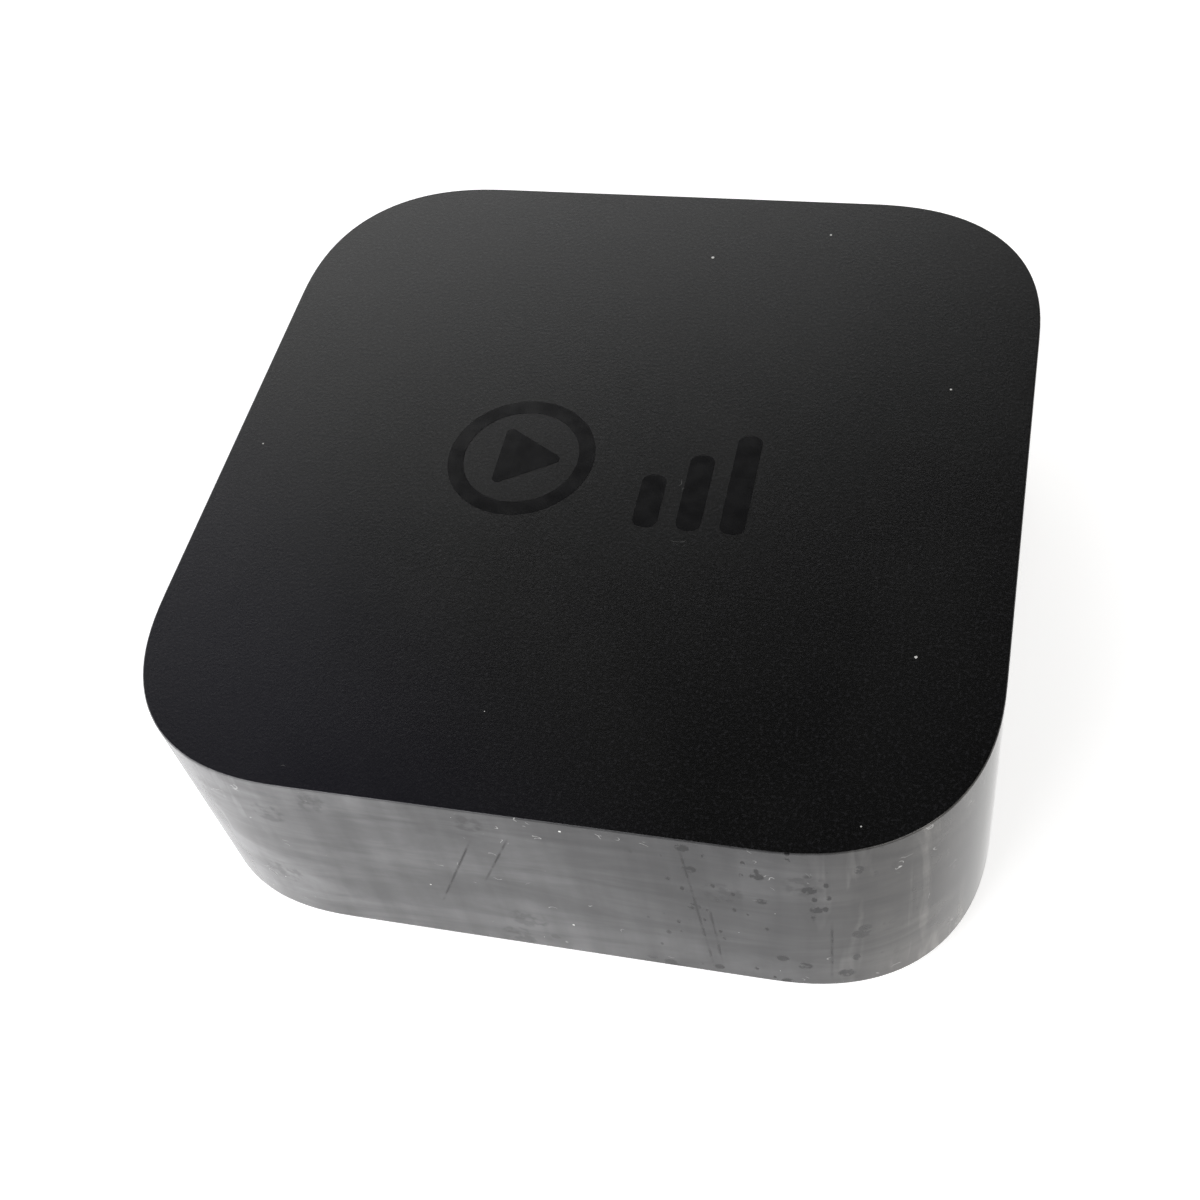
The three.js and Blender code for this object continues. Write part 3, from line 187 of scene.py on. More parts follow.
class BoardSettings(bpy.types.PropertyGroup):
    """Colours of the boards."""

    mask: tint("Solder mask", "Solder mask of the logic board", (0.006, 0.012, 0.018))
    laminate: tint("Laminate", "Bare laminate of the supply board", (0.42, 0.27, 0.10))


class StageSettings(bpy.types.PropertyGroup):
    """The floor, the lights and the camera."""

    azimuth: angle("Camera azimuth", "Turn of the camera around the player, from its front", 22.80)
    elevation: angle("Camera elevation", "Height of the camera over the horizon", 52.48)
    roll: angle("Camera roll", "Tilt of the camera about its own axis", -12.75)
    distance: length("Camera distance", "From the aim point to the camera", 0.22228)
    aim: FloatVectorProperty(
        name="Camera aim", description="Point in the middle of the picture", subtype="XYZ",
        unit="LENGTH", size=3, precision=5, default=(-5.314 * MM, 0.753 * MM, 5.314 * MM),
    )
    lens: FloatProperty(name="Focal length", description="Lens in millimetres", default=48.92, min=1)
    floor_size: length("Floor size", "Side of the floor", 2.8)
    floor_colour: tint("Floor colour", "Paint of the floor", (0.86, 0.86, 0.86))
    floor_glow: FloatProperty(name="Floor glow", description="Light that the floor gives off", default=0.56)
    key: FloatProperty(name="Key light", description="Watts of each front light", default=20, min=0)
    rim: FloatProperty(name="Rim light", description="Watts of the light behind", default=11, min=0)


SETTINGS = {
    "player_housing": HousingSettings,
    "player_base": BaseSettings,
    "player_fan": FanSettings,
    "player_boards": BoardSettings,
    "player_stage": StageSettings,
}


# ---------------------------------------------------------------------------------------------- outlines


def soft_square(half_x, half_y, corner, power, steps):
    """Points of a rectangle with soft corners, anticlockwise from its +X side."""
    points = []
    for quarter, (i, j) in enumerate(SQUARE):
        for step in range(steps + 1):
            share = (steps - step if quarter % 2 else step) / steps
            turn = share * math.pi / 2
            x = half_x - corner + corner * math.cos(turn) ** (2 / power)
            y = half_y - corner + corner * math.sin(turn) ** (2 / power)
            points.append((i * x, j * y))
    return points


def housing_outline(inset, steps=None):
    """The housing's outline, drawn in by an inset."""
    s = bpy.context.scene.player_housing
    half = HALF - inset
    return soft_square(half, half, s.corner - inset, s.corner_power, steps or s.corner_steps)


def circle(radius, sides=48, centre=(0, 0)):
    turns = (2 * math.pi * i / sides for i in range(sides))
    return [(centre[0] + radius * math.cos(t), centre[1] + radius * math.sin(t)) for t in turns]


def at_height(outline, z):
    return [(x, y, z) for x, y in outline]


def stacked(profile):
    """The housing's outline at each (inset, height) of a profile."""
    return [at_height(housing_outline(inset), z) for inset, z in profile]


def capsule(half_pitch, radius, steps=16):
    """Two half circles joined by straight sides."""
    right = [math.pi * (i / steps - 0.5) for i in range(steps + 1)]
    points = [(half_pitch + radius * math.cos(t), radius * math.sin(t)) for t in right]
    return points + [(-x, -y) for x, y in points]


def round_box(width, height, corner, steps=6):
    return soft_square(width / 2, height / 2, corner, 2, steps)


def quarter_arc(radius, steps):
    """(sideways, along) steps of a rounded edge, from the wall to the face."""
    turns = [math.pi / 2 * i / steps for i in range(steps + 1)]
    return [(radius * (1 - math.cos(t)), radius * math.sin(t)) for t in turns]


# ---------------------------------------------------------------------------------------------- mesh work


def add_loop(bm, points):
    return [bm.verts.new(p) for p in points]


def bridge(bm, lower, upper):
    count = len(lower)
    return [
        bm.faces.new((lower[i], lower[(i + 1) % count], upper[(i + 1) % count], upper[i]))
        for i in range(count)
    ]


def loft(bm, rings, closed=False, finishes=None):
    """A skin over rings of equal length. The ends are capped, or joined if the loft is closed.

    finishes gives a material index for each band of faces and, last, for the cap over the last ring.
    """
    loops = [add_loop(bm, ring) for ring in rings]
    bands = [bridge(bm, lower, upper) for lower, upper in zip(loops, loops[1:])]
    if closed:
        bands.append(bridge(bm, loops[-1], loops[0]))
    else:
        first, last = bm.faces.new(loops[0][::-1]), bm.faces.new(loops[-1])
        first.material_index = finishes[0] if finishes else 0
        bands.append([last])
    for band, finish in zip(bands, finishes or []):
        for face in band:
            face.material_index = finish


def new_object(name, bm, recalculate=True):
    if recalculate:
        bmesh.ops.recalc_face_normals(bm, faces=bm.faces)
    mesh = bpy.data.meshes.new(name)
    bm.to_mesh(mesh)
    bm.free()
    obj = bpy.data.objects.new(name, mesh)
    bpy.context.scene.collection.objects.link(obj)
    return obj


def lofted(name, rings, closed=False, finishes=None):
    bm = bmesh.new()
    loft(bm, rings, closed, finishes)
    return new_object(name, bm)


def slab(name, outline, low, high):
    """An outline in X and Y made thick in Z."""
    return lofted(name, [at_height(outline, z) for z in (low, high)])


def block(name, low, high):
    corners = [(low[0], low[1]), (high[0], low[1]), (high[0], high[1]), (low[0], high[1])]
    return slab(name, corners, low[2], high[2])


def along_y(name, sections):
    """A skin over outlines in X and Z, each at its own Y."""
    return lofted(name, [[(x, y, z) for x, z in outline] for y, outline in sections])


TURN_TO = {
    "Z": Matrix.Identity(4),
    "Y": Matrix.Rotation(-math.pi / 2, 4, "X"),
    "X": Matrix.Rotation(math.pi / 2, 4, "Y"),
}


def turned(name, profile, sides=48, place=(0, 0, 0), axis="Z", finishes=None):
    """A profile of (radius, height) turned round an axis. It starts and ends on the axis, or it is a section
    that closes on itself. finishes gives each band its material index."""
    bm = bmesh.new()
    outlines = [at_height(circle(radius, sides) if radius > 0 else [(0, 0)], height) for radius, height in profile]
    loops = [add_loop(bm, outline) for outline in outlines]
    following = loops[1:] + (loops[:1] if profile[0][0] > 0 else [])
    for index, (lower, upper) in enumerate(zip(loops, following)):
        if len(lower) > 1 and len(upper) > 1:
            faces = bridge(bm, lower, upper)
        elif len(lower) == len(upper):
            continue
        else:
            tip, rim = (lower[0], upper) if len(lower) == 1 else (upper[0], lower)
            faces = [bm.faces.new((tip, rim[i], rim[(i + 1) % len(rim)])) for i in range(len(rim))]
        for face in faces:
            face.material_index = finishes[index] if finishes else 0
    bm.transform(Matrix.Translation(place) @ TURN_TO[axis])
    return new_object(name, bm)


def settle(obj):
    """Turns the object and its modifiers into one plain mesh."""
    graph = bpy.context.evaluated_depsgraph_get()
    mesh = bpy.data.meshes.new_from_object(obj.evaluated_get(graph), depsgraph=graph)
    obj.modifiers.clear()
    spare = obj.data
    obj.data = mesh
    bpy.data.meshes.remove(spare)
    return obj


def discard(obj):
    mesh = obj.data
    bpy.data.objects.remove(obj)
    bpy.data.meshes.remove(mesh)


def combine(obj, others, operation):
    for other in others:
        modifier = obj.modifiers.new(operation.title(), "BOOLEAN")
        modifier.object = other
        modifier.operation = operation
        modifier.solver = "EXACT"
        settle(obj)
        discard(other)
    return obj


def carve(obj, *others):
    return combine(obj, others, "DIFFERENCE")


def weld(obj, *others):
    return combine(obj, others, "UNION")


def copy_of(obj, shift):
    """A copy with its own mesh, shifted."""
    copy = obj.copy()
    copy.data = obj.data.copy()
    copy.data.transform(Matrix.Translation(shift))
    bpy.context.scene.collection.objects.link(copy)
    return copy


def gather(name, objects):
    """Several separate solids as one piece."""
    bm = bmesh.new()
    for obj in objects:
        bm.from_mesh(obj.data)
        discard(obj)
    return new_object(name, bm, recalculate=False)


def paint(obj, *finishes):
    for finish in finishes:
        obj.data.materials.append(finish_for(finish))
    return obj


def deliver(obj, slot, replaces=(), finish=None, body=PLAYER):
    """Shades a piece and hands it to the frame. A piece without a finish takes its slot's namesake."""
    if None in list(obj.data.materials):
        obj.data.materials.clear()
    if not obj.data.materials:
        paint(obj, finish or slot)
    obj.data.shade_smooth()
    obj.data.set_sharp_from_angle(angle=SHARP)
    normals = obj.modifiers.new("Face normals", "WEIGHTED_NORMAL")
    normals.keep_sharp = True
    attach(obj, body)
    if replaces:
        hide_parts(*replaces)


def dress(node, finish, width, segments=2):
    """Gives one of the frame's own solids its finish and soft edges of a width in millimetres."""
    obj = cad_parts[node]
    obj.data.materials.clear()
    paint(obj, finish)
    merge = obj.modifiers.new("Merge", "WELD")
    merge.merge_threshold = 0.002 * MM
    if width:
        bevel = obj.modifiers.new("Soft edges", "BEVEL")
        bevel.width = width * MM
        bevel.segments = segments
        bevel.limit_method = "ANGLE"
        bevel.angle_limit = math.radians(35)
        bevel.use_clamp_overlap = True
        bevel.miter_outer = "MITER_ARC"


# ---------------------------------------------------------------------------------------------- repeats


class Repeater:
    """A Geometry Nodes tree that repeats the object's own mesh, and ends in one plain mesh."""

    def __init__(self, name, **sizes):
        self.tree = bpy.data.node_groups.new(name, "GeometryNodeTree")
        face = self.tree.interface
        face.new_socket("Geometry", in_out="INPUT", socket_type="NodeSocketGeometry")
        self.identifiers = [
            face.new_socket(label, in_out="INPUT", socket_type="NodeSocket" + kind).identifier
            for label, kind in {**sizes, "Finish": "Material"}.items()
        ]
        face.new_socket("Geometry", in_out="OUTPUT", socket_type="NodeSocketGeometry")
        self.given = self.tree.nodes.new("NodeGroupInput").outputs

    def add(self, kind, inputs, **settings):
        """A new node, with its inputs linked to sockets or set to plain values. Returns its outputs."""
        node = self.tree.nodes.new(kind)
        for key, value in settings.items():
            setattr(node, key, value)
        for label, value in inputs.items():
            if isinstance(value, bpy.types.NodeSocket):
                self.tree.links.new(value, node.inputs[label])
            else:
                node.inputs[label].default_value = value
        return node.outputs

    def finish(self, points, **inputs):
        """Puts the object's mesh on the points, and makes it one mesh with one material."""
        inputs = {"Points": points, "Instance": self.given["Geometry"], **inputs}
        copies = self.add("GeometryNodeInstanceOnPoints", inputs)
        real = self.add("GeometryNodeRealizeInstances", {"Geometry": copies[0]})
        painted = self.add("GeometryNodeSetMaterial", {"Geometry": real[0], "Material": self.given["Finish"]})
        self.add("NodeGroupOutput", {"Geometry": painted[0]})
        return self


@functools.cache
def around_axis():
    """Copies turned about the Z axis, at even steps."""
    made = Repeater("Repeat around", Count="Int")
    count = made.given["Count"]
    index = made.add("GeometryNodeInputIndex", {})
    step = made.add("ShaderNodeMath", {0: 2 * math.pi, 1: count}, operation="DIVIDE")
    turn = made.add("ShaderNodeMath", {0: index[0], 1: step[0]}, operation="MULTIPLY")
    spin = made.add("ShaderNodeCombineXYZ", {"Z": turn[0]})
    points = made.add("GeometryNodePoints", {"Count": count})
    return made.finish(points[0], Rotation=spin[0])


@functools.cache
def along_line():
    """Copies on a straight line, from the object's own place, a pitch apart."""
    made = Repeater("Repeat along", Count="Int", Pitch="Vector")
    line = made.add("GeometryNodeMeshLine", {"Count": made.given["Count"], "Offset": made.given["Pitch"]})
    return made.finish(line[0])


@functools.cache
def on_grid():
    """Copies on a grid about the middle of the player, with a share of them kept at random."""
    made = Repeater(
        "Repeat on grid", Columns="Int", Rows="Int", Width="Float", Depth="Float", Share="Float", Seed="Int"
    )
    sides = {"Vertices X": "Columns", "Vertices Y": "Rows", "Size X": "Width", "Size Y": "Depth"}
    grid = made.add("GeometryNodeMeshGrid", {side: made.given[label] for side, label in sides.items()})
    chance = {"Probability": made.given["Share"], "Seed": made.given["Seed"]}
    pick = made.add("FunctionNodeRandomValue", chance, data_type="BOOLEAN")
    return made.finish(grid["Mesh"], Selection=pick[3])


def repeat(obj, tree, *sizes, finish=None):
    """Repeats an object's mesh by one of the trees, with the tree's sizes in their order."""
    made = tree()
    if finish:
        paint(obj, finish)
    modifier = obj.modifiers.new(made.tree.name, "NODES")
    modifier.node_group = made.tree
    for identifier, value in zip(made.identifiers, (*sizes, finish and finish_for(finish))):
        modifier[identifier] = value
    return settle(obj)


def on_all_sides(obj, count, pitch):
    """A row along the +X side, and the same on the other three sides."""
    repeat(obj, along_line, count, (0, pitch, 0))
    return repeat(obj, around_axis, 4)


# ---------------------------------------------------------------------------------------------- finishes


class Finish:
    """A material's nodes. Patterns read object coordinates in millimetres."""

    def __init__(self, name, colour, roughness, metallic=0.0, **sockets):
        self.material = bpy.data.materials.new(name)
        self.material.use_nodes = True
        self.nodes = self.material.node_tree.nodes
        self.surface = self.nodes["Principled BSDF"]
        self.surface.inputs["Base Color"].default_value = (*colour, 1)
        self.surface.inputs["Roughness"].default_value = roughness
        self.surface.inputs["Metallic"].default_value = metallic
        for label, value in sockets.items():
            self.surface.inputs[label.replace("_", " ")].default_value = value
        self.place = self.nodes.new("ShaderNodeTexCoord").outputs["Object"]

    def link(self, output, target):
        self.material.node_tree.links.new(output, target)

    def feed(self, value, target):
        """Links a socket, or sets a plain value."""
        if isinstance(value, bpy.types.NodeSocket):
            self.link(value, target)
        else:
            target.default_value = value

    def spot(self, stretch=(1, 1, 1), shift=(0, 0, 0)):
        """Object coordinates in millimetres, stretched and shifted."""
        node = self.nodes.new("ShaderNodeMapping")
        node.inputs["Scale"].default_value = [s / MM for s in stretch]
        node.inputs["Location"].default_value = shift
        self.link(self.place, node.inputs["Vector"])
        return node.outputs[0]

    def noise(self, scale, detail=2.0, roughness=0.5, stretch=(1, 1, 1), shift=(0, 0, 0), distortion=0.0):
        node = self.nodes.new("ShaderNodeTexNoise")
        node.inputs["Scale"].default_value = scale
        node.inputs["Detail"].default_value = detail
        node.inputs["Roughness"].default_value = roughness
        node.inputs["Distortion"].default_value = distortion
        self.link(self.spot(stretch, shift), node.inputs["Vector"])
        return node.outputs["Fac"]

    def remap(self, value, low, high, start=0.0, end=1.0, smooth=True):
        node = self.nodes.new("ShaderNodeMapRange")
        node.interpolation_type = "SMOOTHSTEP" if smooth else "LINEAR"
        node.inputs["From Min"].default_value = low
        node.inputs["From Max"].default_value = high
        node.inputs["To Min"].default_value = start
        node.inputs["To Max"].default_value = end
        self.link(value, node.inputs["Value"])
        return node.outputs["Result"]

    def math(self, operation, *values):
        node = self.nodes.new("ShaderNodeMath")
        node.operation = operation
        for value, target in zip(values, node.inputs):
            self.feed(value, target)
        return node.outputs[0]

    def times(self, *values):
        """The product of all the values."""
        return functools.reduce(lambda product, value: self.math("MULTIPLY", product, value), values)

    def most(self, *values):
        """The greatest of the values."""
        return functools.reduce(lambda most, value: self.math("MAXIMUM", most, value), values)

    def away(self, value, centre):
        """The distance of a value from a centre."""
        return self.math("ABSOLUTE", self.math("SUBTRACT", value, centre))

    def sprinkle(self, cell, radius, share, stretch=(1, 1, 1), shift=(0, 0, 0)):
        """Spots of about one radius, one to a cell, kept for a share of the cells."""
        node = self.nodes.new("ShaderNodeTexVoronoi")
        node.inputs["Scale"].default_value = 1 / cell
        self.link(self.spot(stretch, shift), node.inputs["Vector"])
        parts = self.nodes.new("ShaderNodeSeparateColor")
        self.link(node.outputs["Color"], parts.inputs["Color"])
        size = self.remap(parts.outputs["Green"], 0, 1, 0.4 * radius / cell, 1.3 * radius / cell, smooth=False)
        inside = self.math("SUBTRACT", 1.0, self.math("DIVIDE", node.outputs["Distance"], size))
        return self.times(self.remap(inside, 0.0, 0.25), self.math("LESS_THAN", parts.outputs["Red"], share))

    def axes(self):
        """X, Y and Z in millimetres."""
        node = self.nodes.new("ShaderNodeSeparateXYZ")
        self.link(self.spot(), node.inputs[0])
        return node.outputs

    def fibres(self, scale, width):
        """Thin winding lines."""
        return self.remap(self.away(self.noise(scale, detail=1), 0.5), 0.0, width, 1.0, 0.0)

    def hairline(self, offset, slope, bottom, top, width=0.26):
        """A near-upright scratch on the front wall: its foot's X, its lean, its ends and its width."""
        x, y, z = self.axes()
        lean = self.math("MULTIPLY_ADD", z, slope, offset - bottom * slope)
        return self.times(
            self.remap(self.away(x, lean), 0.0, width, 1.0, 0.0),
            self.remap(z, bottom, bottom + 4),
            self.remap(z, top - 4, top, 1.0, 0.0),
            self.remap(self.noise(0.5, detail=3), 0.35, 0.55, 0.25, 1.0),
            self.math("LESS_THAN", y, -HALF / MM / 2),
        )

    def blend(self, factor, first, second):
        node = self.nodes.new("ShaderNodeMix")
        node.data_type = "RGBA"
        self.feed(factor, node.inputs[0])
        for value, index in ((first, 6), (second, 7)):
            if isinstance(value, bpy.types.NodeSocket):
                self.link(value, node.inputs[index])
            else:
                node.inputs[index].default_value = (*value, 1)
        return node.outputs[2]

    def colour(self, socket):
        self.link(socket, self.surface.inputs["Base Color"])
        return self

    def rough(self, socket):
        self.link(socket, self.surface.inputs["Roughness"])
        return self

    def bump(self, height, distance):
        node = self.nodes.new("ShaderNodeBump")
        node.inputs["Distance"].default_value = distance
        self.link(height, node.inputs["Height"])
        self.link(node.outputs["Normal"], self.surface.inputs["Normal"])
        return self


def shade_of(colour, factor):
    return tuple(min(1.0, c * factor) for c in colour)


def grained(name, colour, roughness=0.5, grain=0.25, depth=0.012 * MM, variation=0.25, **sockets):
    """Moulded plastic or rubber with a fine sandblasted grain."""
    f = Finish(name, colour, roughness, **sockets)
    fine = f.noise(1 / grain, detail=3, roughness=0.6)
    broad = f.noise(0.08, detail=3)
    f.colour(f.blend(f.remap(broad, 0.3, 0.7), shade_of(colour, 1 - variation), shade_of(colour, 1 + variation)))
    f.rough(f.remap(f.noise(0.3, detail=4), 0.3, 0.7, roughness - 0.06, roughness + 0.08))
    return f.bump(fine, depth).material


def brushed(name, colour, roughness, stretch):
    """Metal with fine lines from rolling or turning, and slight staining."""
    f = Finish(name, colour, roughness, metallic=1.0)
    lines = f.noise(6.0, detail=2, stretch=stretch)
    stain = f.noise(0.15, detail=4, roughness=0.6)
    f.colour(f.blend(f.remap(stain, 0.35, 0.75), colour, shade_of(colour, 0.82)))
    f.rough(f.remap(lines, 0.3, 0.7, roughness - 0.08, roughness + 0.14))
    return f.bump(lines, 0.003 * MM).material


def top_finish():
    """Fine matte plastic with a soft grain and painted sparkle, bluish and lighter towards the front-left corner, and
    a little lint.
    """
    colour = tuple(bpy.context.scene.player_housing.top_colour)
    f = Finish("matte_top", colour, 0.31, Specular_IOR_Level=0.42)
    grain = f.noise(2.4, detail=4, roughness=0.8)
    cloud = f.noise(0.045, detail=3)
    fibres = f.times(f.fibres(0.5, 0.008), f.sprinkle(9.0, 1.0, 0.2, shift=(9, 2, 0)), 0.3)
    specks = f.most(f.sprinkle(3.0, 0.17, 0.08, shift=(3, 5, 0)), fibres)
    # Real grain with painted sparkle: with the grain, the colour swings from 0.2 to 6.5 times the plastic's, in place
    # of glints.
    tone = f.blend(f.remap(grain, 0.50, 0.66), shade_of(colour, 0.2), shade_of(colour, 6.5))
    x, y, _ = f.axes()
    # Bluish and lighter towards the front-left corner.
    bluish_front_left = f.remap(f.math("ADD", x, y), -75, -25, 0.6, 0.0)
    f.colour(f.blend(specks, f.blend(bluish_front_left, tone, (0.0062, 0.0056, 0.0115)), (0.6, 0.6, 0.58)))
    f.rough(f.remap(cloud, 0.35, 0.65, 0.30, 0.33))
    return f.bump(grain, 0.028 * MM).material


def dust_and_sheen_film(f, x, y, z):
    """How thickly each point of the walls is covered by a pale film of dust and painted reflection: most at the front,
    left and low. The noise gives the dust and wipe marks, and the rise to the front, the left and low down is painted
    reflection brightness.
    """
    haze = f.noise(0.07, detail=4, roughness=0.55)
    wiped = f.noise(1.0, detail=5, roughness=0.6, stretch=(0.03, 0.03, 0.17), distortion=0.8)
    rubbed = f.noise(1.0, detail=3, roughness=0.5, stretch=(0.30, 0.30, 0.03), shift=(4, 0, 0))
    # Painted reflection brightness: the film thickens towards the left and the front, and it changes between rim and
    # top along X.
    at_rim = f.remap(x, -25, 30, 0.95, 1.34, smooth=False)
    at_top = f.remap(x, -25, 30, 1.02, 0.88, smooth=False)
    height = f.remap(z, RIM / MM, TOP / MM, smooth=False)
    cover = f.times(
        f.remap(haze, 0.3, 0.7, 0.34, 0.51),
        f.remap(wiped, 0.32, 0.68, 0.66, 1.22),
        f.remap(rubbed, 0.3, 0.7, 0.80, 1.12),
        f.math("MULTIPLY_ADD", height, f.math("SUBTRACT", at_top, at_rim), at_rim),
        f.remap(x, -HALF / MM, 12, 2.05, 0.59, smooth=False),
        f.remap(y, -46, -22, 1.0, 0.42),
    )
    swept = f.noise(1.0, detail=3, stretch=(0.26, 0.26, 0.035), shift=(2, 7, 0), distortion=1.4)
    corner = f.times(f.remap(f.math("ABSOLUTE", x), 28, 38, 0.0, 0.8), f.remap(y, -42, -20, 1.0, 0.1))
    return f.math("MULTIPLY_ADD", f.times(f.remap(swept, 0.50, 0.64), corner), cover, cover)


def bare_marks(f, x, z):
    """Where the film is rubbed away: spots on the right of the front, blots, grime at the rim and scratches."""
    ragged = f.remap(f.noise(1.5, detail=3), 0.38, 0.44)
    patches = f.most(f.sprinkle(2.2, 0.60, 0.7, (1.3, 1, 0.7), (2, 1, 3)), f.sprinkle(4.2, 1.2, 0.8))
    spots = f.times(patches, ragged, f.remap(f.away(x, 25.0), 7, 17, 1.0, 0.0))
    blots = f.times(f.sprinkle(9.0, 2.4, 0.5, shift=(6, 2, 1)), f.remap(f.noise(0.8, detail=4), 0.42, 0.62), 0.4)
    grime = f.times(
        f.sprinkle(1.6, 0.6, 0.6, shift=(1, 4, 2)),
        f.remap(z, 4.5, 8.0, 1.0, 0.0),
        f.remap(f.noise(0.10, detail=1), 0.5, 0.6),
    )
    return f.most(spots, blots, grime, *(f.hairline(*line) for line in HAIRLINES))


def wall_finish():
    """Polished plastic under a thin pale film of dust and painted reflection, with wipe marks, spots, hairline
    scratches and lint.
    """
    s = bpy.context.scene.player_housing
    plastic, film = tuple(s.wall_colour), tuple(s.film_and_sheen_colour)
    f = Finish("gloss_wall", plastic, 0.12, Specular_IOR_Level=0.22)
    x, y, z = f.axes()
    kept = f.math("SUBTRACT", 1.0, f.times(bare_marks(f, x, z), 0.97))
    # The cover is dust and painted reflection brightness, thinner where marks rub it away.
    cover = f.times(dust_and_sheen_film(f, x, y, z), kept)
    lint = f.times(
        f.fibres(0.55, 0.014),
        f.sprinkle(2.6, 0.9, 0.7, shift=(7, 3, 5)),
        f.remap(f.noise(0.07, detail=1, shift=(3, 1, 4)), 0.50, 0.56),
        0.45,
    )
    dust = f.most(f.sprinkle(2.0, 0.13, 0.25, shift=(5, 5, 1)), lint)
    # Painted reflection colour: the film turns warmer towards the right corner.
    film = f.blend(f.remap(x, 26, 44), film, (film[0], 0.96 * film[1], 0.88 * film[2]))
    f.colour(f.blend(dust, f.blend(cover, plastic, film), (0.8, 0.8, 0.78)))
    f.rough(f.remap(cover, 0.10, 0.54, 0.06, 0.20))
    return f.bump(f.noise(0.11, detail=1), 0.006 * MM).material


def inlay_finish():
    """Gloss ink on the matte top."""
    colour = tuple(bpy.context.scene.player_housing.top_colour)
    f = Finish("gloss_inlay", shade_of(colour, 2.2), 0.22)
    f.rough(f.remap(f.noise(0.4, detail=3), 0.3, 0.7, 0.20, 0.25))
    return f.bump(f.noise(0.9, detail=2), 0.0006 * MM).material


def winding_copper():
    """Enamelled wire: fine ridges that run around the coil, with painted shade darkening the grooves between the
    turns.
    """
    f = Finish("winding_copper", (0.45, 0.15, 0.05), 0.3, 0.9)
    turns = f.nodes.new("ShaderNodeTexWave")
    turns.bands_direction = "Z"
    turns.inputs["Scale"].default_value = 1.1
    turns.inputs["Distortion"].default_value = 0.4
    f.link(f.spot(), turns.inputs["Vector"])
    # Painted shade: the copper is darker where the wave is low, in the grooves between the turns.
    f.colour(f.blend(turns.outputs["Fac"], (0.20, 0.055, 0.018), (0.62, 0.23, 0.08)))
    return f.bump(turns.outputs["Fac"], 0.05 * MM).material


def winding_tape():
    """Yellow polyester tape in overlapping layers."""
    f = Finish("winding_tape", (0.62, 0.36, 0.03), 0.3, Coat_Weight=0.3)
    layers = f.noise(1.0, detail=1, stretch=(0.06, 0.06, 0.9))
    f.colour(f.blend(f.remap(layers, 0.35, 0.65), (0.50, 0.27, 0.02), (0.72, 0.45, 0.05)))
    return f.bump(layers, 0.06 * MM).material


def board_finish(name, setting, track, scale):
    """Solder mask with raised copper tracks under it, and plated holes."""
    mask = tuple(getattr(bpy.context.scene.player_boards, setting))
    f = Finish(name, mask, 0.35, Coat_Weight=0.25)
    tracks = f.nodes.new("ShaderNodeTexBrick")
    tracks.offset = 0.37
    for label, value in (("Scale", scale), ("Mortar Size", 0.035), ("Brick Width", 1.3), ("Row Height", 0.42)):
        tracks.inputs[label].default_value = value
    f.link(f.spot(), tracks.inputs["Vector"])
    lines = f.times(tracks.outputs["Fac"], f.remap(f.noise(0.12, detail=2), 0.46, 0.5))
    holes = f.sprinkle(2.6, 0.22, 0.55)
    f.colour(f.blend(holes, f.blend(lines, mask, shade_of(mask, track)), (0.55, 0.48, 0.33)))
    f.link(holes, f.surface.inputs["Metallic"])
    return f.bump(f.math("SUBTRACT", lines, holes), 0.03 * MM).material


def capacitor_sleeve():
    """Dark shrink sleeve with a pale stripe down one side, and a bare scored end."""
    sleeve = (0.012, 0.015, 0.03)
    f = Finish("capacitor_sleeve", sleeve, 0.26, Coat_Weight=0.3)
    side = f.nodes.new("ShaderNodeSeparateXYZ")
    shape = f.nodes.new("ShaderNodeNewGeometry")
    f.link(shape.outputs["Normal"], side.inputs[0])
    f.colour(f.blend(f.remap(side.outputs["Z"], 0.90, 0.93), sleeve, (0.50, 0.50, 0.48)))
    return f.bump(f.noise(0.5, detail=2), 0.01 * MM).material


def clear_plastic():
    f = Finish("clear_plastic", (0.9, 0.92, 0.93), 0.08, Transmission_Weight=0.9, IOR=1.49)
    f.rough(f.remap(f.noise(0.5, detail=2), 0.3, 0.7, 0.05, 0.14))
    return f.bump(f.noise(0.8), 0.004 * MM).material


DRAWN = {
    "matte_top": top_finish,
    "gloss_wall": wall_finish,
    "gloss_inlay": inlay_finish,
    "winding_copper": winding_copper,
    "winding_tape": winding_tape,
    "logic_mask": lambda: board_finish("logic_mask", "mask", 2.6, 0.5),
    "supply_laminate": lambda: board_finish("supply_laminate", "laminate", 0.72, 0.22),
    "capacitor_sleeve": capacitor_sleeve,
    "clear_plastic": clear_plastic,
}
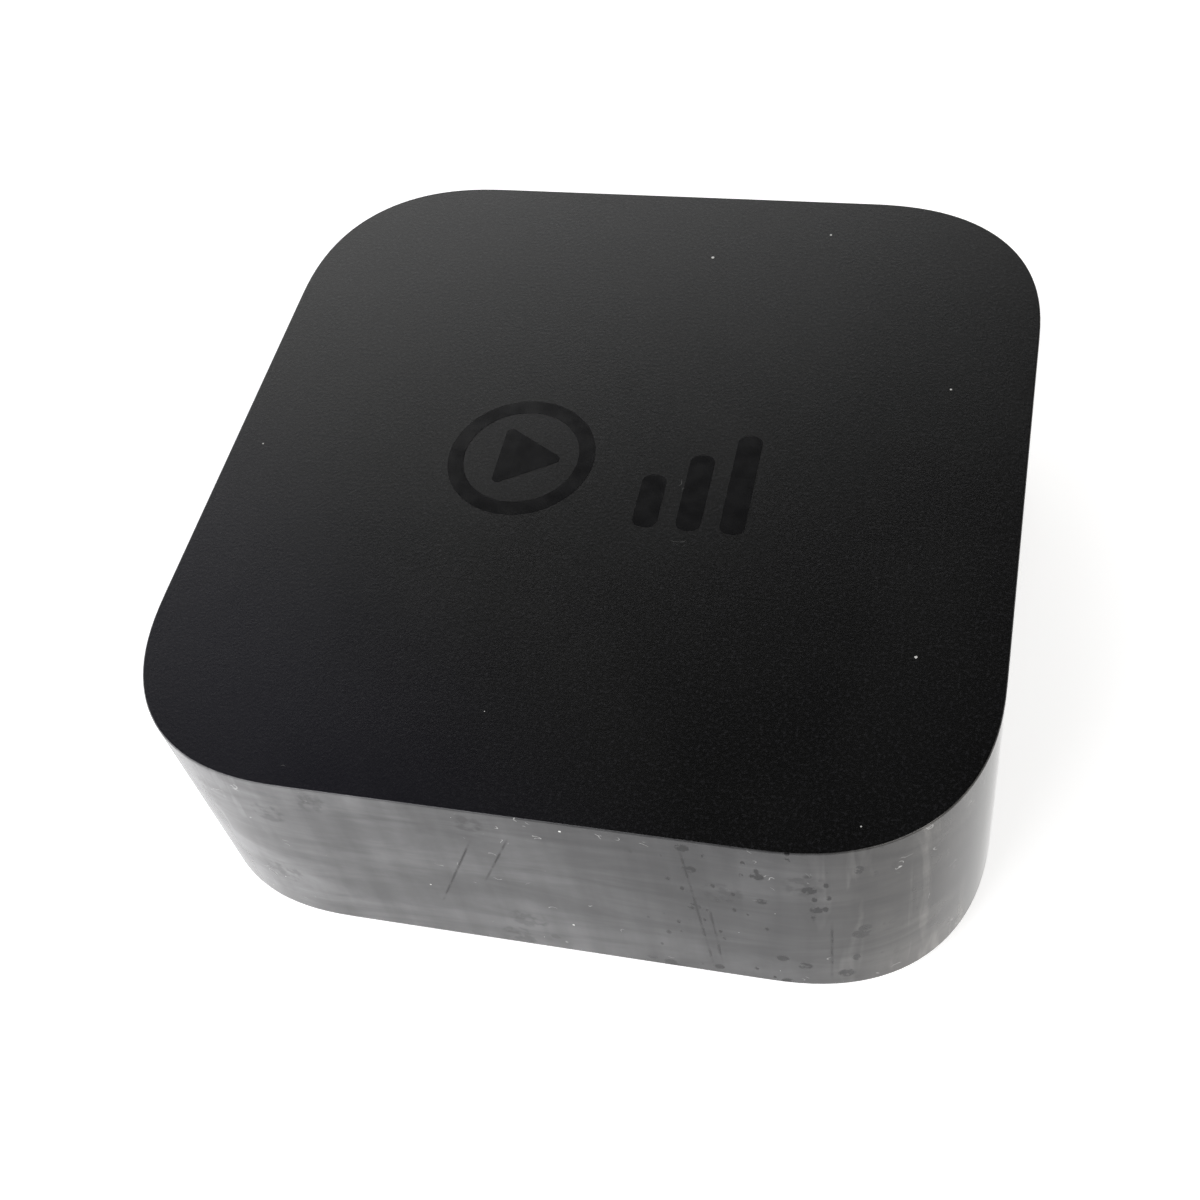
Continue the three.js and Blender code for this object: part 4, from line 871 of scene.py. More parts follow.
# Colour, or the setting that holds it, and roughness.
GRAINED = {
    "cover_plastic": ("player_base.colour", 0.48, {"grain": 0.35}),
    "inner_plastic": ((0.012, 0.012, 0.013), 0.42, {"grain": 0.6}),
    "foot_rubber": ("player_base.rubber_colour", 0.8, {"grain": 0.3, "depth": 0.02 * MM}),
    "fan_plastic": ("player_fan.colour", 0.4, {"grain": 0.5}),
    "cast_aluminium": (
        (0.62, 0.63, 0.65), 0.42, {"grain": 0.4, "depth": 0.02 * MM, "variation": 0.08, "Metallic": 1.0},
    ),
    "bonded_magnet": ((0.045, 0.042, 0.040), 0.62, {"grain": 0.2, "depth": 0.02 * MM}),
    "ground_ferrite": ((0.050, 0.050, 0.054), 0.5, {"grain": 0.15, "depth": 0.015 * MM}),
    "epoxy_chip": ((0.015, 0.015, 0.016), 0.55, {"grain": 0.12, "depth": 0.01 * MM}),
    "soft_pad": ((0.25, 0.33, 0.42), 0.85, {"grain": 0.5, "depth": 0.04 * MM, "variation": 0.12}),
    "flex_film": ((0.40, 0.15, 0.03), 0.28, {"grain": 1.2, "depth": 0.004 * MM, "Coat_Weight": 0.4}),
    "insulator_sheet": ((0.62, 0.61, 0.56), 0.35, {"grain": 0.9, "depth": 0.006 * MM, "variation": 0.06}),
    "film_box": ((0.55, 0.26, 0.02), 0.38, {"grain": 0.5, "variation": 0.1}),
    "fuse_body": ((0.11, 0.035, 0.012), 0.3, {"grain": 0.6}),
    "cable_sleeve": ((0.010, 0.010, 0.012), 0.32, {"grain": 0.8}),
    "tinted_lens": ((0.02, 0.008, 0.012), 0.14, {"grain": 1.5, "depth": 0.003 * MM, "Coat_Weight": 0.6}),
}
# Colour, roughness and the stretch of the lines along each axis.
BRUSHED = {
    "rolled_steel": ((0.52, 0.52, 0.53), 0.32, (0.1, 1.4, 1)),
    "screw_steel": ((0.46, 0.46, 0.48), 0.28, (1, 1, 3)),
    "plated_shell": ((0.70, 0.69, 0.66), 0.2, (1, 0.12, 1)),
    "bearing_brass": ((0.72, 0.50, 0.22), 0.22, (1, 1, 4)),
    "gold_plate": ((0.86, 0.60, 0.22), 0.18, (1, 0.1, 1)),
}


@functools.cache
def finish_for(name):
    """The materials, each made once, when a piece first asks for it."""
    if name in DRAWN:
        return DRAWN[name]()
    if name in BRUSHED:
        return brushed(name, *BRUSHED[name])
    colour, roughness, extras = GRAINED[name]
    if isinstance(colour, str):
        group, key = colour.split(".")
        colour = tuple(getattr(getattr(bpy.context.scene, group), key))
    return grained(name, colour, roughness, **extras)


# ---------------------------------------------------------------------------------------------- stage


def soft_light(name, place, size, watts, tone=(1, 1, 1)):
    """A rectangle of light that faces the player."""
    lamp = bpy.data.lights.new(name, "AREA")
    lamp.shape = "RECTANGLE"
    lamp.size, lamp.size_y = size
    lamp.energy = watts
    lamp.color = tone
    light = bpy.data.objects.new(name, lamp)
    light.location = place
    light.rotation_mode = "QUATERNION"
    light.rotation_quaternion = (-Vector(place)).to_track_quat("-Z", "Y")
    bpy.context.scene.collection.objects.link(light)


def studio_world():
    """Pale walls all round, darker overhead."""
    world = bpy.data.worlds.new("Studio")
    world.use_nodes = True
    bpy.context.scene.world = world
    nodes, links = world.node_tree.nodes, world.node_tree.links
    direction = nodes.new("ShaderNodeTexCoord")
    height = nodes.new("ShaderNodeSeparateXYZ")
    ramp = nodes.new("ShaderNodeValToRGB")
    ramp.color_ramp.interpolation = "EASE"
    steps = ((0.0, 1.0), (0.10, 0.60), (0.36, 0.30), (0.66, 0.04), (1.0, 0.012))
    while len(ramp.color_ramp.elements) < len(steps):
        ramp.color_ramp.elements.new(0.5)
    for element, (position, level) in zip(ramp.color_ramp.elements, steps):
        element.position = position
        element.color = (level, level, level, 1)
    links.new(direction.outputs["Generated"], height.inputs[0])
    links.new(height.outputs["Z"], ramp.inputs[0])
    links.new(ramp.outputs[0], nodes["Background"].inputs["Color"])


def studio_floor():
    """A pale floor, clear from below so that the foot can be looked at."""
    s = bpy.context.scene.player_stage
    half = s.floor_size / 2
    bm = bmesh.new()
    bm.faces.new(add_loop(bm, [(i * half, j * half, 0) for i, j in SQUARE]))
    floor = new_object("floor", bm, recalculate=False)
    f = Finish("floor_paint", tuple(s.floor_colour), 0.75, Specular_IOR_Level=0.1)
    f.surface.inputs["Emission Color"].default_value = (1, 1, 1, 1)
    f.surface.inputs["Emission Strength"].default_value = s.floor_glow
    sides = f.nodes.new("ShaderNodeMixShader")
    f.link(f.nodes.new("ShaderNodeNewGeometry").outputs["Backfacing"], sides.inputs[0])
    f.link(f.surface.outputs[0], sides.inputs[1])
    f.link(f.nodes.new("ShaderNodeBsdfTransparent").outputs[0], sides.inputs[2])
    f.link(sides.outputs[0], f.nodes["Material Output"].inputs["Surface"])
    floor.data.materials.append(f.material)


def studio_camera():
    s = bpy.context.scene.player_stage
    across = Vector((math.cos(s.azimuth), math.sin(s.azimuth), 0))
    back = Vector((
        math.sin(s.azimuth) * math.cos(s.elevation),
        -math.cos(s.azimuth) * math.cos(s.elevation),
        math.sin(s.elevation),
    ))
    up = back.cross(across)
    right = across * math.cos(s.roll) + up * math.sin(s.roll)
    above = up * math.cos(s.roll) - across * math.sin(s.roll)
    data = bpy.data.cameras.new("Camera")
    data.sensor_width = 36
    data.lens = s.lens
    data.clip_start, data.clip_end = 0.01, 20
    camera = bpy.data.objects.new("Camera", data)
    turn = Matrix((right, above, back)).transposed().to_4x4()
    camera.matrix_world = Matrix.Translation(Vector(s.aim) + back * s.distance) @ turn
    bpy.context.scene.collection.objects.link(camera)
    bpy.context.scene.camera = camera


# ---------------------------------------------------------------------------------------------- housing


def inlet_outline(margin):
    return [(x + INLET_X, z + SOCKET_HEIGHT) for x, z in capsule(4.3 * MM, 3.6 * MM + margin)]


def video_outline(margin):
    """Flat on top, with its lower corners cut off."""
    half = (VIDEO_HIGH.x - VIDEO_LOW.x) / 2 + margin
    left, right = VIDEO_X - half, VIDEO_X + half
    top, bottom = VIDEO_HIGH.z + margin, VIDEO_LOW.z - margin
    slope = 1.6 * MM
    return [
        (left + slope, bottom), (right - slope, bottom), (right, bottom + slope),
        (right, top), (left, top), (left, bottom + slope),
    ]


def jack_outline(margin):
    width, height = (side + 2 * margin for side in JACK_CASE)
    return [(x + JACK_X, z + SOCKET_HEIGHT) for x, z in round_box(width, height, 0.4 * MM, 3)]


def centre_of(node):
    low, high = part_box(node)
    return (low.x + high.x) / 2, (low.y + high.y) / 2


def rod(name, radius, node, low, high):
    """An upright rod in the middle of a node."""
    return slab(name, circle(radius, 32, centre_of(node)), low, high)


def tab_pockets():
    """Recesses in the walls for the base cover's snap tabs, on all four sides."""
    inner = HALF - bpy.context.scene.player_housing.wall
    middle, half = -TAB_PITCH / 2, TAB_WIDTH / 2 + FIT
    low, high = COVER_HIGH.z - TAB_HOOK - FIT, COVER_HIGH.z - 0.4 * MM + FIT
    pocket = block("pockets", (inner - PAST, middle - half, low), (inner + 0.75 * MM, middle + half, high))
    return on_all_sides(pocket, 2, TAB_PITCH)


def socket_openings():
    """Cutters for the three openings, each with a chamfer at its mouth."""
    lip = bpy.context.scene.player_housing.mouth_lip
    levels = ((INLET_FACE - PAST, FIT), (HALF - lip, FIT), (HALF + lip, FIT + 2 * lip))
    return [
        along_y("opening", [(y, outline(margin)) for y, margin in levels])
        for outline in (inlet_outline, video_outline, jack_outline)
    ]


def housing_shell():
    """One skin over the outside and the inside, with posts and recesses added and the sockets cut."""
    s = bpy.context.scene.player_housing
    face, ceiling = TOP - s.inlay_drop, TOP - s.ceiling
    rounded = quarter_arc(s.edge, 6)
    inside = [(s.wall, ceiling), (s.wall, SEAT), (s.wall - s.rabbet, SEAT), (s.wall - s.rabbet, RIM)]
    lower = [(side, RIM + s.edge - along) for side, along in rounded[::-1]]
    upper = [(side, face - s.edge + along) for side, along in rounded]
    gloss, matte, inner = range(3)
    bands = [inner] * 3 + [gloss] * (len(lower) + 5) + [matte] * (len(upper) - 4)
    shell = paint(lofted("housing_shell", stacked(inside + lower + upper), finishes=bands), *SHELL_FINISHES)
    collar_end = HALF - s.wall + 0.5 * MM
    collar = block("collar", (INLET_LOW.x, INLET_FACE, INLET_LOW.z), (INLET_HIGH.x, collar_end, INLET_HIGH.z))
    posts = [rod("post", radius, node, foot, ceiling + 0.5 * MM) for node, radius, _, foot in POSTS]
    bores = [rod("bore", bore, node, foot - PAST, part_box(node)[1].z + PAST) for node, _, bore, foot in POSTS]
    # The front wall is thinner where the light and the receiver shine through it.
    front, side, level = -HALF, 9 * MM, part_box("front_board")[0].z
    window = block("window", (-side, front + 1.1 * MM, level + 1 * MM), (side, front + s.wall + PAST, level + 10 * MM))
    added, removed = [collar, *posts], [window, tab_pockets(), *bores, *socket_openings()]
    for tool in added + removed:
        paint(tool, *SHELL_FINISHES)
        for polygon in tool.data.polygons:
            polygon.material_index = inner
    weld(shell, *added)
    return carve(shell, *removed)


def inlay():
    """A ring with a play triangle in it, and three rising bars."""
    s = bpy.context.scene.player_housing
    low, high = TOP - 0.15 * MM, TOP
    ring_x, bars_x = -11.0 * MM, 4.2 * MM
    inner = s.inlay_ring - s.inlay_line
    levels = ((s.inlay_ring, low), (s.inlay_ring, high), (inner, high), (inner, low))
    ring = lofted("ring", [at_height(circle(r, 96, (ring_x, 0)), z) for r, z in levels], closed=True)
    arrow, reach, soft = [], inner * 0.58, 0.7 * MM
    for i in range(3):
        middle = 2 * math.pi * i / 3
        tip = (ring_x + reach * math.cos(middle), reach * math.sin(middle))
        turns = [middle + math.pi / 3 * (k / 4 - 1) for k in range(9)]
        arrow += [(tip[0] + soft * math.cos(t), tip[1] + soft * math.sin(t)) for t in turns]
    parts = [ring, slab("arrow", arrow, low, high)]
    for i in range(3):
        tall = (8.0 + 3.6 * i) * MM
        x, y = bars_x + i * (s.inlay_line + 3.2 * MM) + s.inlay_line, tall / 2 - s.inlay_ring
        bar = [(bx + x, by + y) for bx, by in round_box(s.inlay_line * 1.5, tall, 1.2 * MM)]
        parts.append(slab("bar", bar, low, high))
    return gather("top_inlay", parts)


# ---------------------------------------------------------------------------------------------- base


def vent_cutters():
    s = bpy.context.scene.player_base
    level = SEAT - s.flange - 0.5 * MM - s.vent_height / 2
    middle = HALF - s.tray_inset - s.tray_wall / 2
    first = -(s.vent_count - 1) / 2 * s.vent_pitch
    slot = round_box(s.vent_width, s.vent_height, s.vent_height * 0.49, 5)
    ends = (middle - 3 * s.tray_wall, middle + 3 * s.tray_wall)
    rings = [[(x, first + a, level + b) for a, b in slot] for x in ends]
    return on_all_sides(lofted("vents", rings), s.vent_count, s.vent_pitch)


def base_tray():
    """The foot tray, with a groove for the rubber ring, a vented wall and the flange that closes the housing."""
    s = bpy.context.scene.player_base
    low, ledge = COVER_LOW.z, SEAT - s.flange
    rim, inner, small = HALF - COVER_HIGH.x, s.tray_inset + s.tray_wall, 0.25 * MM
    groove_out, groove_in = s.tray_inset + 3 * MM, s.tray_inset + 8 * MM
    profile = [
        (groove_in, low),
        (groove_in, PAD_HIGH.z),
        (groove_out, PAD_HIGH.z),
        (groove_out, low),
        (s.tray_inset + small, low),
        (s.tray_inset + small * 0.3, low + small * 0.3),
        (s.tray_inset, low + small),
        (s.tray_inset, ledge),
        (rim + small, ledge),
        (rim, ledge + small),
        (rim, SEAT),
        (inner, SEAT),
        (inner, low + s.tray_floor),
    ]
    return carve(lofted("base_tray", stacked(profile)), vent_cutters())


def snap_tabs():
    """The sprung tabs that hold the base cover in the housing."""
    top, foot = COVER_HIGH.z, SEAT - 0.2 * MM
    outer = HALF - bpy.context.scene.player_housing.wall - FIT
    inner, hook = outer - 1.2 * MM, outer + 0.6 * MM
    profile = [
        (inner, foot), (outer, foot), (outer, top - TAB_HOOK), (hook, top - TAB_HOOK), (hook, top - 1.2 * MM),
        (outer + 0.1 * MM, top - 0.1 * MM), (outer - 0.2 * MM, top), (inner, top),
    ]
    ends = (-(TAB_PITCH + TAB_WIDTH) / 2, -(TAB_PITCH - TAB_WIDTH) / 2)
    return on_all_sides(lofted("snap_tabs", [[(x, y, z) for x, z in profile] for y in ends]), 2, TAB_PITCH)


def foot_ring():
    outer = HALF - PAD_HIGH.x
    inner, soft = outer + 4.9 * MM, 0.25 * MM
    arc = quarter_arc(soft, 4)
    profile = [(outer + side, PAD_LOW.z + soft - along) for side, along in arc]
    profile += [(inner - side, PAD_LOW.z + soft - along) for side, along in arc[::-1]]
    profile += [(inner, PAD_HIGH.z), (outer, PAD_HIGH.z)]
    return lofted("foot_ring", stacked(profile), closed=True)


# ---------------------------------------------------------------------------------------------- sockets


def inlet_case():
    """The mains inlet: a block behind the wall, and a two-lobed well that comes through it."""
    case = block("inlet_case", INLET_LOW, (INLET_HIGH.x, INLET_FACE, INLET_HIGH.z))
    nose = ((INLET_FACE - PAST, 0), (MOUTH - 0.2 * MM, 0), (MOUTH, -0.2 * MM))
    well = ((MOUTH - INLET_DEPTH, -0.75 * MM), (MOUTH - 0.3 * MM, -0.6 * MM), (MOUTH + 0.1 * MM, -0.35 * MM))
    weld(case, along_y("nose", [(y, inlet_outline(margin)) for y, margin in nose]))
    return carve(case, along_y("well", [(y, inlet_outline(margin)) for y, margin in well]))


def inlet_pin(node):
    """A round pin with a domed tip, and the thin tail behind it."""
    low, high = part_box(node)
    root = MOUTH - INLET_DEPTH
    back, step, tip = low.y - root, 0.05 * MM, high.y - root
    radius, tail = 1.2 * MM, 0.5 * MM
    profile = [
        (0, back), (tail, back), (tail, step), (radius, step), (radius, tip - 0.9 * MM),
        (radius * 0.9, tip - 0.4 * MM), (radius * 0.6, tip - 0.1 * MM), (radius * 0.3, tip), (0, tip),
    ]
    return turned(node + "_turned", profile, 32, ((low.x + high.x) / 2, root, SOCKET_HEIGHT), "Y")


def video_shell():
    wall, back = 0.45 * MM, VIDEO_LOW.y
    room = ((back + 1.5 * MM, -wall), (MOUTH - 0.3 * MM, -wall), (MOUTH + 0.3 * MM, -0.05 * MM))
    shell = along_y("video_shell", [(y, video_outline(0)) for y in (back, MOUTH)])
    return carve(shell, along_y("room", [(y, video_outline(margin)) for y, margin in room]))


def video_contacts():
    """Ten strips under the tongue, and ten over it half a pitch along."""
    low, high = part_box("video_tongue")
    pitch = 1.0 * MM
    under = block(
        "video_contacts",
        (low.x + 0.35 * MM, low.y + 0.6 * MM, low.z - 0.06 * MM),
        (low.x + 0.75 * MM, high.y - 0.5 * MM, low.z + 0.02 * MM),
    )
    over = copy_of(under, (0.5 * pitch, 0, high.z - low.z + 0.04 * MM))
    return gather("video_contacts", [repeat(row, along_line, 10, (pitch, 0, 0)) for row in (under, over)])


def jack_mouth(margin=0.0):
    """The opening for a plug, with the two steps of its latch above."""
    floor = SOCKET_HEIGHT - 5.05 * MM - margin
    roof = floor + 6.9 * MM + 2 * margin
    half, latch, finger = 5.95 * MM + margin, 3.2 * MM + margin, 2.0 * MM + margin
    step, top = roof + 1.7 * MM, roof + 3.0 * MM
    right = [(half, floor), (half, roof), (latch, roof), (latch, step), (finger, step), (finger, top)]
    return [(JACK_X - half, floor)] + [(JACK_X + x, z) for x, z in right] + [
        (JACK_X - x, z) for x, z in right[:0:-1]
    ]


def jack_shell():
    """Folded metal around the jack's plastic body."""
    outside = ((JACK_LOW.y, 0), (MOUTH - 0.15 * MM, 0), (MOUTH, -0.15 * MM))
    inside = ((JACK_LOW.y + 0.4 * MM, -0.4 * MM), (MOUTH + PAST, -0.4 * MM))
    shell = along_y("jack_shell", [(y, jack_outline(margin)) for y, margin in outside])
    return carve(shell, along_y("room", [(y, jack_outline(margin)) for y, margin in inside]))


def jack_insert():
    """The plastic body in the jack's shell, with the keyway for a plug's latch."""
    gap, lip = 0.45 * MM, 0.3 * MM
    body = along_y("jack_insert", [(y, jack_outline(-gap)) for y in (JACK_LOW.y + gap, MOUTH - 0.1 * MM)])
    mouth = ((MOUTH - 14 * MM, 0), (MOUTH - 0.5 * MM, 0), (MOUTH + lip, lip))
    return carve(body, along_y("mouth", [(y, jack_mouth(margin)) for y, margin in mouth]))


def jack_contacts():
    """Eight sprung wires that lean up from the jack's floor."""
    low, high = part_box("network_contacts")
    wire, pitch, count = 0.24 * MM, 1.02 * MM, 8
    first = JACK_X - (count - 1) / 2 * pitch
    line = [
        (high.y - 0.2 * MM, low.z + 0.5 * MM), (high.y - 1.0 * MM, low.z + 0.9 * MM),
        (low.y + 0.3 * MM, low.z + 2.6 * MM),
    ]
    corners = ((-wire, -wire), (wire, -wire), (wire, wire), (-wire, wire))
    rings = [[(first + a, y, z + b) for a, b in corners] for y, z in line]
    return repeat(lofted("jack_contacts", rings), along_line, count, (pitch, 0, 0))


# ---------------------------------------------------------------------------------------------- fasteners


def threaded(radius, depth, pitch, low, high, sides=20):
    """A shank with a helical thread that fades out at both ends."""
    rows = math.ceil((high - low) / pitch * 6)
    rings = []
    for row in range(rows + 1):
        z = low + (high - low) * row / rows
        fade = min(1.0, (high - z) / pitch, (z - low) / pitch)
        ring = []
        for side in range(sides):
            turn = side / sides
            phase = ((z - low) / pitch - turn) % 1.0
            ridge = 1 - abs(2 * phase - 1)
            r = radius - depth * (1 - ridge * fade)
            ring.append((r * math.cos(2 * math.pi * turn), r * math.sin(2 * math.pi * turn), z))
        rings.append(ring)
    return lofted("thread", rings)


def cheese_screw(name, node, shank, head, head_height, pitch):
    """A socket-head screw that points up, made on the Z axis at the height of its node."""
    low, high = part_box(node)
    soft, seat = 0.25 * MM, low.z + head_height
    profile = [(0, low.z)]
    profile += [(head - side, low.z + soft - along) for side, along in quarter_arc(soft, 4)[::-1]]
    profile += [(head, seat - 0.08 * MM), (head - 0.08 * MM, seat), (0, seat)]
    drive = slab("drive", circle(shank * 0.6, 6), low.z - PAST, low.z + head_height * 0.5)
    body = carve(turned(name, profile, 36), drive)
    return weld(body, threaded(shank, 0.14 * MM, pitch, seat - 0.15 * MM, high.z - 0.02 * MM))


def corner_screws(name, nodes, sizes):
    """Four equal screws, one at each corner of a rectangle."""
    x, y = (abs(v) for v in centre_of(nodes[0]))
    screw = cheese_screw(name, nodes[0], *sizes)
    return repeat(screw, on_grid, 2, 2, 2 * x, 2 * y, 1.0, 0, finish="screw_steel")


def supply_screws():
    """Three equal screws, one at each node."""
    screw = cheese_screw("screw", SUPPLY_SCREWS[0], *SMALL_SCREW)
    copies = [copy_of(screw, (*centre_of(node), 0)) for node in SUPPLY_SCREWS]
    discard(screw)
    return gather("supply_screws", copies)


# ---------------------------------------------------------------------------------------------- fan


def fan_blade(low, high, root, tip, sweep, thickness):
    """One swept blade with round edges, thinner towards its tip."""
    steps = 9
    rings = []
    for step in range(steps + 1):
        share = step / steps
        radius, turn = root + (tip - root) * share, -sweep * share ** 1.3
        half = thickness / 2 * (1 - 0.35 * share)
        centre = Vector((radius * math.cos(turn), radius * math.sin(turn), 0))
        slope = turn - sweep * 1.3 * share ** 0.3 * radius / (tip - root)
        across = Vector((-math.sin(slope), math.cos(slope), 0))
        section = [(-1, 0), (1, 0), (1, 0.8), (0.7, 0.94), (0, 1), (-0.7, 0.94), (-1, 0.8)]
        rings.append([centre + across * half * a + Vector((0, 0, low + (high - low) * b)) for a, b in section])
    return lofted("blade", rings)


def impeller():
    """A cup with a round crown and a thin disc around it, which carries the blades."""
    s = bpy.context.scene.player_fan
    low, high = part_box("fan_impeller")
    tip, disc, soft, edge = 25.5 * MM, 0.7 * MM, 0.4 * MM, 0.2 * MM
    inner, roof = s.hub - s.hub_wall, high.z - disc - 0.2 * MM
    crown = [(s.hub - side, high.z - soft + along) for side, along in quarter_arc(soft, 5)]
    profile = [
        (inner, low.z), (tip - edge, low.z), (tip, low.z + edge), (tip, low.z + disc - edge),
        (tip - edge, low.z + disc), (s.hub + 0.5 * MM, low.z + disc), (s.hub, low.z + disc + 0.5 * MM),
        *crown, (3.2 * MM, high.z), (2.6 * MM, high.z - 0.2 * MM), (0, high.z - 0.2 * MM),
        (0, high.z - 0.25 * MM), (SHAFT_BORE, high.z - 0.25 * MM), (SHAFT_BORE, roof), (inner, roof),
    ]
    blade = fan_blade(low.z + 0.3 * MM, high.z - 0.2 * MM, s.hub - 0.4 * MM, tip - 0.4 * MM, s.sweep, s.blade)
    return weld(turned("impeller", profile, 96), repeat(blade, around_axis, s.blades))


def chamfered_ring(name, node, inner, sides=64):
    low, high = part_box(node)
    outer, chamfer = (high.x - low.x) / 2, 0.15 * MM
    profile = [
        (inner, low.z + chamfer), (inner + chamfer, low.z), (outer - chamfer, low.z), (outer, low.z + chamfer),
        (outer, high.z - chamfer), (outer - chamfer, high.z), (inner + chamfer, high.z), (inner, high.z - chamfer),
    ]
    return turned(name, profile, sides)


def shaft():
    low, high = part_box("fan_shaft")
    radius, soft = high.x, 0.3 * MM
    arc = quarter_arc(soft, 4)
    profile = [(0, low.z)] + [(radius - side, low.z + soft - along) for side, along in arc[::-1]]
    profile += [(radius - side, high.z - soft + along) for side, along in arc] + [(0, high.z)]
    return turned("shaft", profile, 32)


# ---------------------------------------------------------------------------------------------- power supply


def can(node):
    """A can capacitor, standing or lying: a sleeve with a rolled bead by its bung, and a bare scored end."""
    low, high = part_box(node)
    size, middle = high - low, (low + high) / 2
    lying = size.x > size.z
    long, radius = (size.x, size.y / 2) if lying else (size.z, size.x / 2)
    place = (low.x, middle.y, middle.z) if lying else (middle.x, middle.y, low.z)
    lip, bead, soft, score = 0.35 * MM, 0.3 * MM, 0.45 * MM, 0.1 * MM
    groove = [
        (radius - bead * (1 - math.cos(math.pi * i / 4)) / 2, long * 0.13 + (i - 4) * 0.25 * MM) for i in range(9)
    ]
    crown = [(radius - side, long - soft + step) for side, step in quarter_arc(soft, 4)]
    profile = [
        (0, 0.15 * MM), (radius - 1.2 * MM, 0.15 * MM), (radius - 1.0 * MM, 0), (radius - lip, 0), (radius, lip),
        *groove, *crown, (radius - 0.9 * MM, long), (radius - 1.0 * MM, long - score), (0, long - score),
    ]
    sleeve, bare, bung = range(3)
    bands = [bung] * 3 + [sleeve] * (len(groove) + len(crown) + 2) + [bare] * 2
    body = turned(node + "_can", profile, 40, place, "X" if lying else "Z", bands)
    return paint(body, "capacitor_sleeve", "cast_aluminium", "foot_rubber")


def fuse():
    """A tubular fuse with a pressed cap on each end."""
    low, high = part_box("fuse")
    radius, long = (high.x - low.x) / 2, high.y - low.y
    cap, step, soft = long * 0.22, 0.2 * MM, 0.3 * MM
    arc = quarter_arc(soft, 4)
    near = [(0, 0)] + [(radius - side, soft - along) for side, along in arc[::-1]] + [(radius, cap)]
    profile = near + [(radius - step, cap)] + [(r, long - y) for r, y in [(radius - step, cap)] + near[::-1]]
    bands = [1] * (len(profile) - 1)
    bands[len(near)] = 0
    place = ((low.x + high.x) / 2, low.y, (low.z + high.z) / 2)
    return paint(turned("fuse_tube", profile, 36, place, "Y", bands), "fuse_body", "plated_shell")


def wound_ring():
    """A ring core under one layer of round wire."""
    low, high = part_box("output_inductor")
    z, half = (low.z + high.z) / 2, (high.z - low.z) / 2
    wire, outer, inner = 0.42 * MM, 5.25 * MM, 2.0 * MM
    middle, reach = (outer + inner) / 2, (outer - inner) / 2 - wire
    core_x, core_z = reach - 0.1 * MM, half - 2 * wire - 0.1 * MM
    core = turned("core", [(middle + core_x * a, z + core_z * b) for a, b in soft_square(1, 1, 0.6, 2, 4)])
    rings = []
    for x, y in soft_square(reach + wire * 0.6, half - wire * 1.1, 0.9 * MM, 2, 3):
        out = Vector((x, 0, y)).normalized()
        rings.append([
            Vector((middle + x, 0, z + y)) + out * a + Vector((0, b, 0)) for a, b in circle(wire, 8)
        ])
    turns = repeat(lofted("turn", rings, closed=True), around_axis, 16)
    ring = gather("wound_ring", [core, turns])
    ring.data.transform(Matrix.Translation((*centre_of("output_inductor"), 0)))
    return ring


def power_post(node):
    low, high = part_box(node)
    radius, neck, soft = (high.x - low.x) / 2 * 0.98, 1.9 * MM, 0.2 * MM
    profile = [
        (0, low.z), (radius - soft, low.z), (radius, low.z + soft), (radius, low.z + 0.9 * MM),
        (neck, low.z + 1.2 * MM), (neck, high.z - 1.2 * MM), (radius, high.z - 0.9 * MM), (radius, high.z - soft),
        (radius - soft, high.z), (0, high.z),
    ]
    return turned(node + "_turned", profile, 32, (*centre_of(node), 0))


# ---------------------------------------------------------------------------------------------- boards


def scatter(part, finish, grid, area, share, seed, place):
    """Repeats a part over a grid, keeps a share of the copies at random, and moves them to their place."""
    repeat(part, on_grid, *grid, *area, share, seed, finish=finish)
    part.data.transform(Matrix.Translation(place))
    return part


def small_part(name, long, wide, tall):
    return slab(name, round_box(long * MM, wide * MM, 0.08 * MM, 2), 0, tall * MM)


def solder_dome():
    """A cut lead in a dome of solder that hangs under a board."""
    profile = [(0, -0.75), (0.22, -0.72), (0.26, -0.45), (0.5, -0.2), (0.8, -0.04), (0.85, 0.02), (0, 0.02)]
    return turned("solder_domes", [(r * MM, h * MM) for r, h in profile], 16)


def light_rod():
    low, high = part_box("light_pipe")
    radius, long, soft = (high.x - low.x) / 2, high.y - low.y, 0.2 * MM
    tip = radius * 0.77
    profile = [
        (0, 0), (tip * 0.5, 0.03 * MM), (tip - soft, 0.1 * MM), (tip, soft + 0.1 * MM), (radius, long - soft),
        (radius - soft, long), (0, long),
    ]
    return turned("light_rod", profile, 32, ((low.x + high.x) / 2, low.y, (low.z + high.z) / 2), "Y")


# ---------------------------------------------------------------------------------------------- operators


class PLAYER_OT_stage(bpy.types.Operator):
    """Sets up the floor, the lights and the camera"""

    bl_idname = "player.stage"
    bl_label = "Stage"

    def execute(self, context):
        s = context.scene.player_stage
        context.scene.view_settings.view_transform = "Standard"
        studio_camera()
        studio_floor()
        studio_world()
        soft_light("front_left", (-0.9, -1.1, 1.3), (1.2, 1.2), s.key, (0.97, 0.965, 1))
        soft_light("front_right", (1.2, -0.9, 1.2), (1.2, 1.2), s.key, (1, 0.98, 0.95))
        soft_light("behind", (-0.8, 1.35, 0.80), (2.0, 0.8), s.rim)
        return {"FINISHED"}


class PLAYER_OT_housing(bpy.types.Operator):
    """Builds the housing, with a matte top, polished walls and openings for the sockets"""

    bl_idname = "player.housing"
    bl_label = "Housing"

    def execute(self, context):
        deliver(housing_shell(), "housing_plastic", ["housing"])
        deliver(inlay(), "housing_plastic", finish="gloss_inlay")
        return {"FINISHED"}


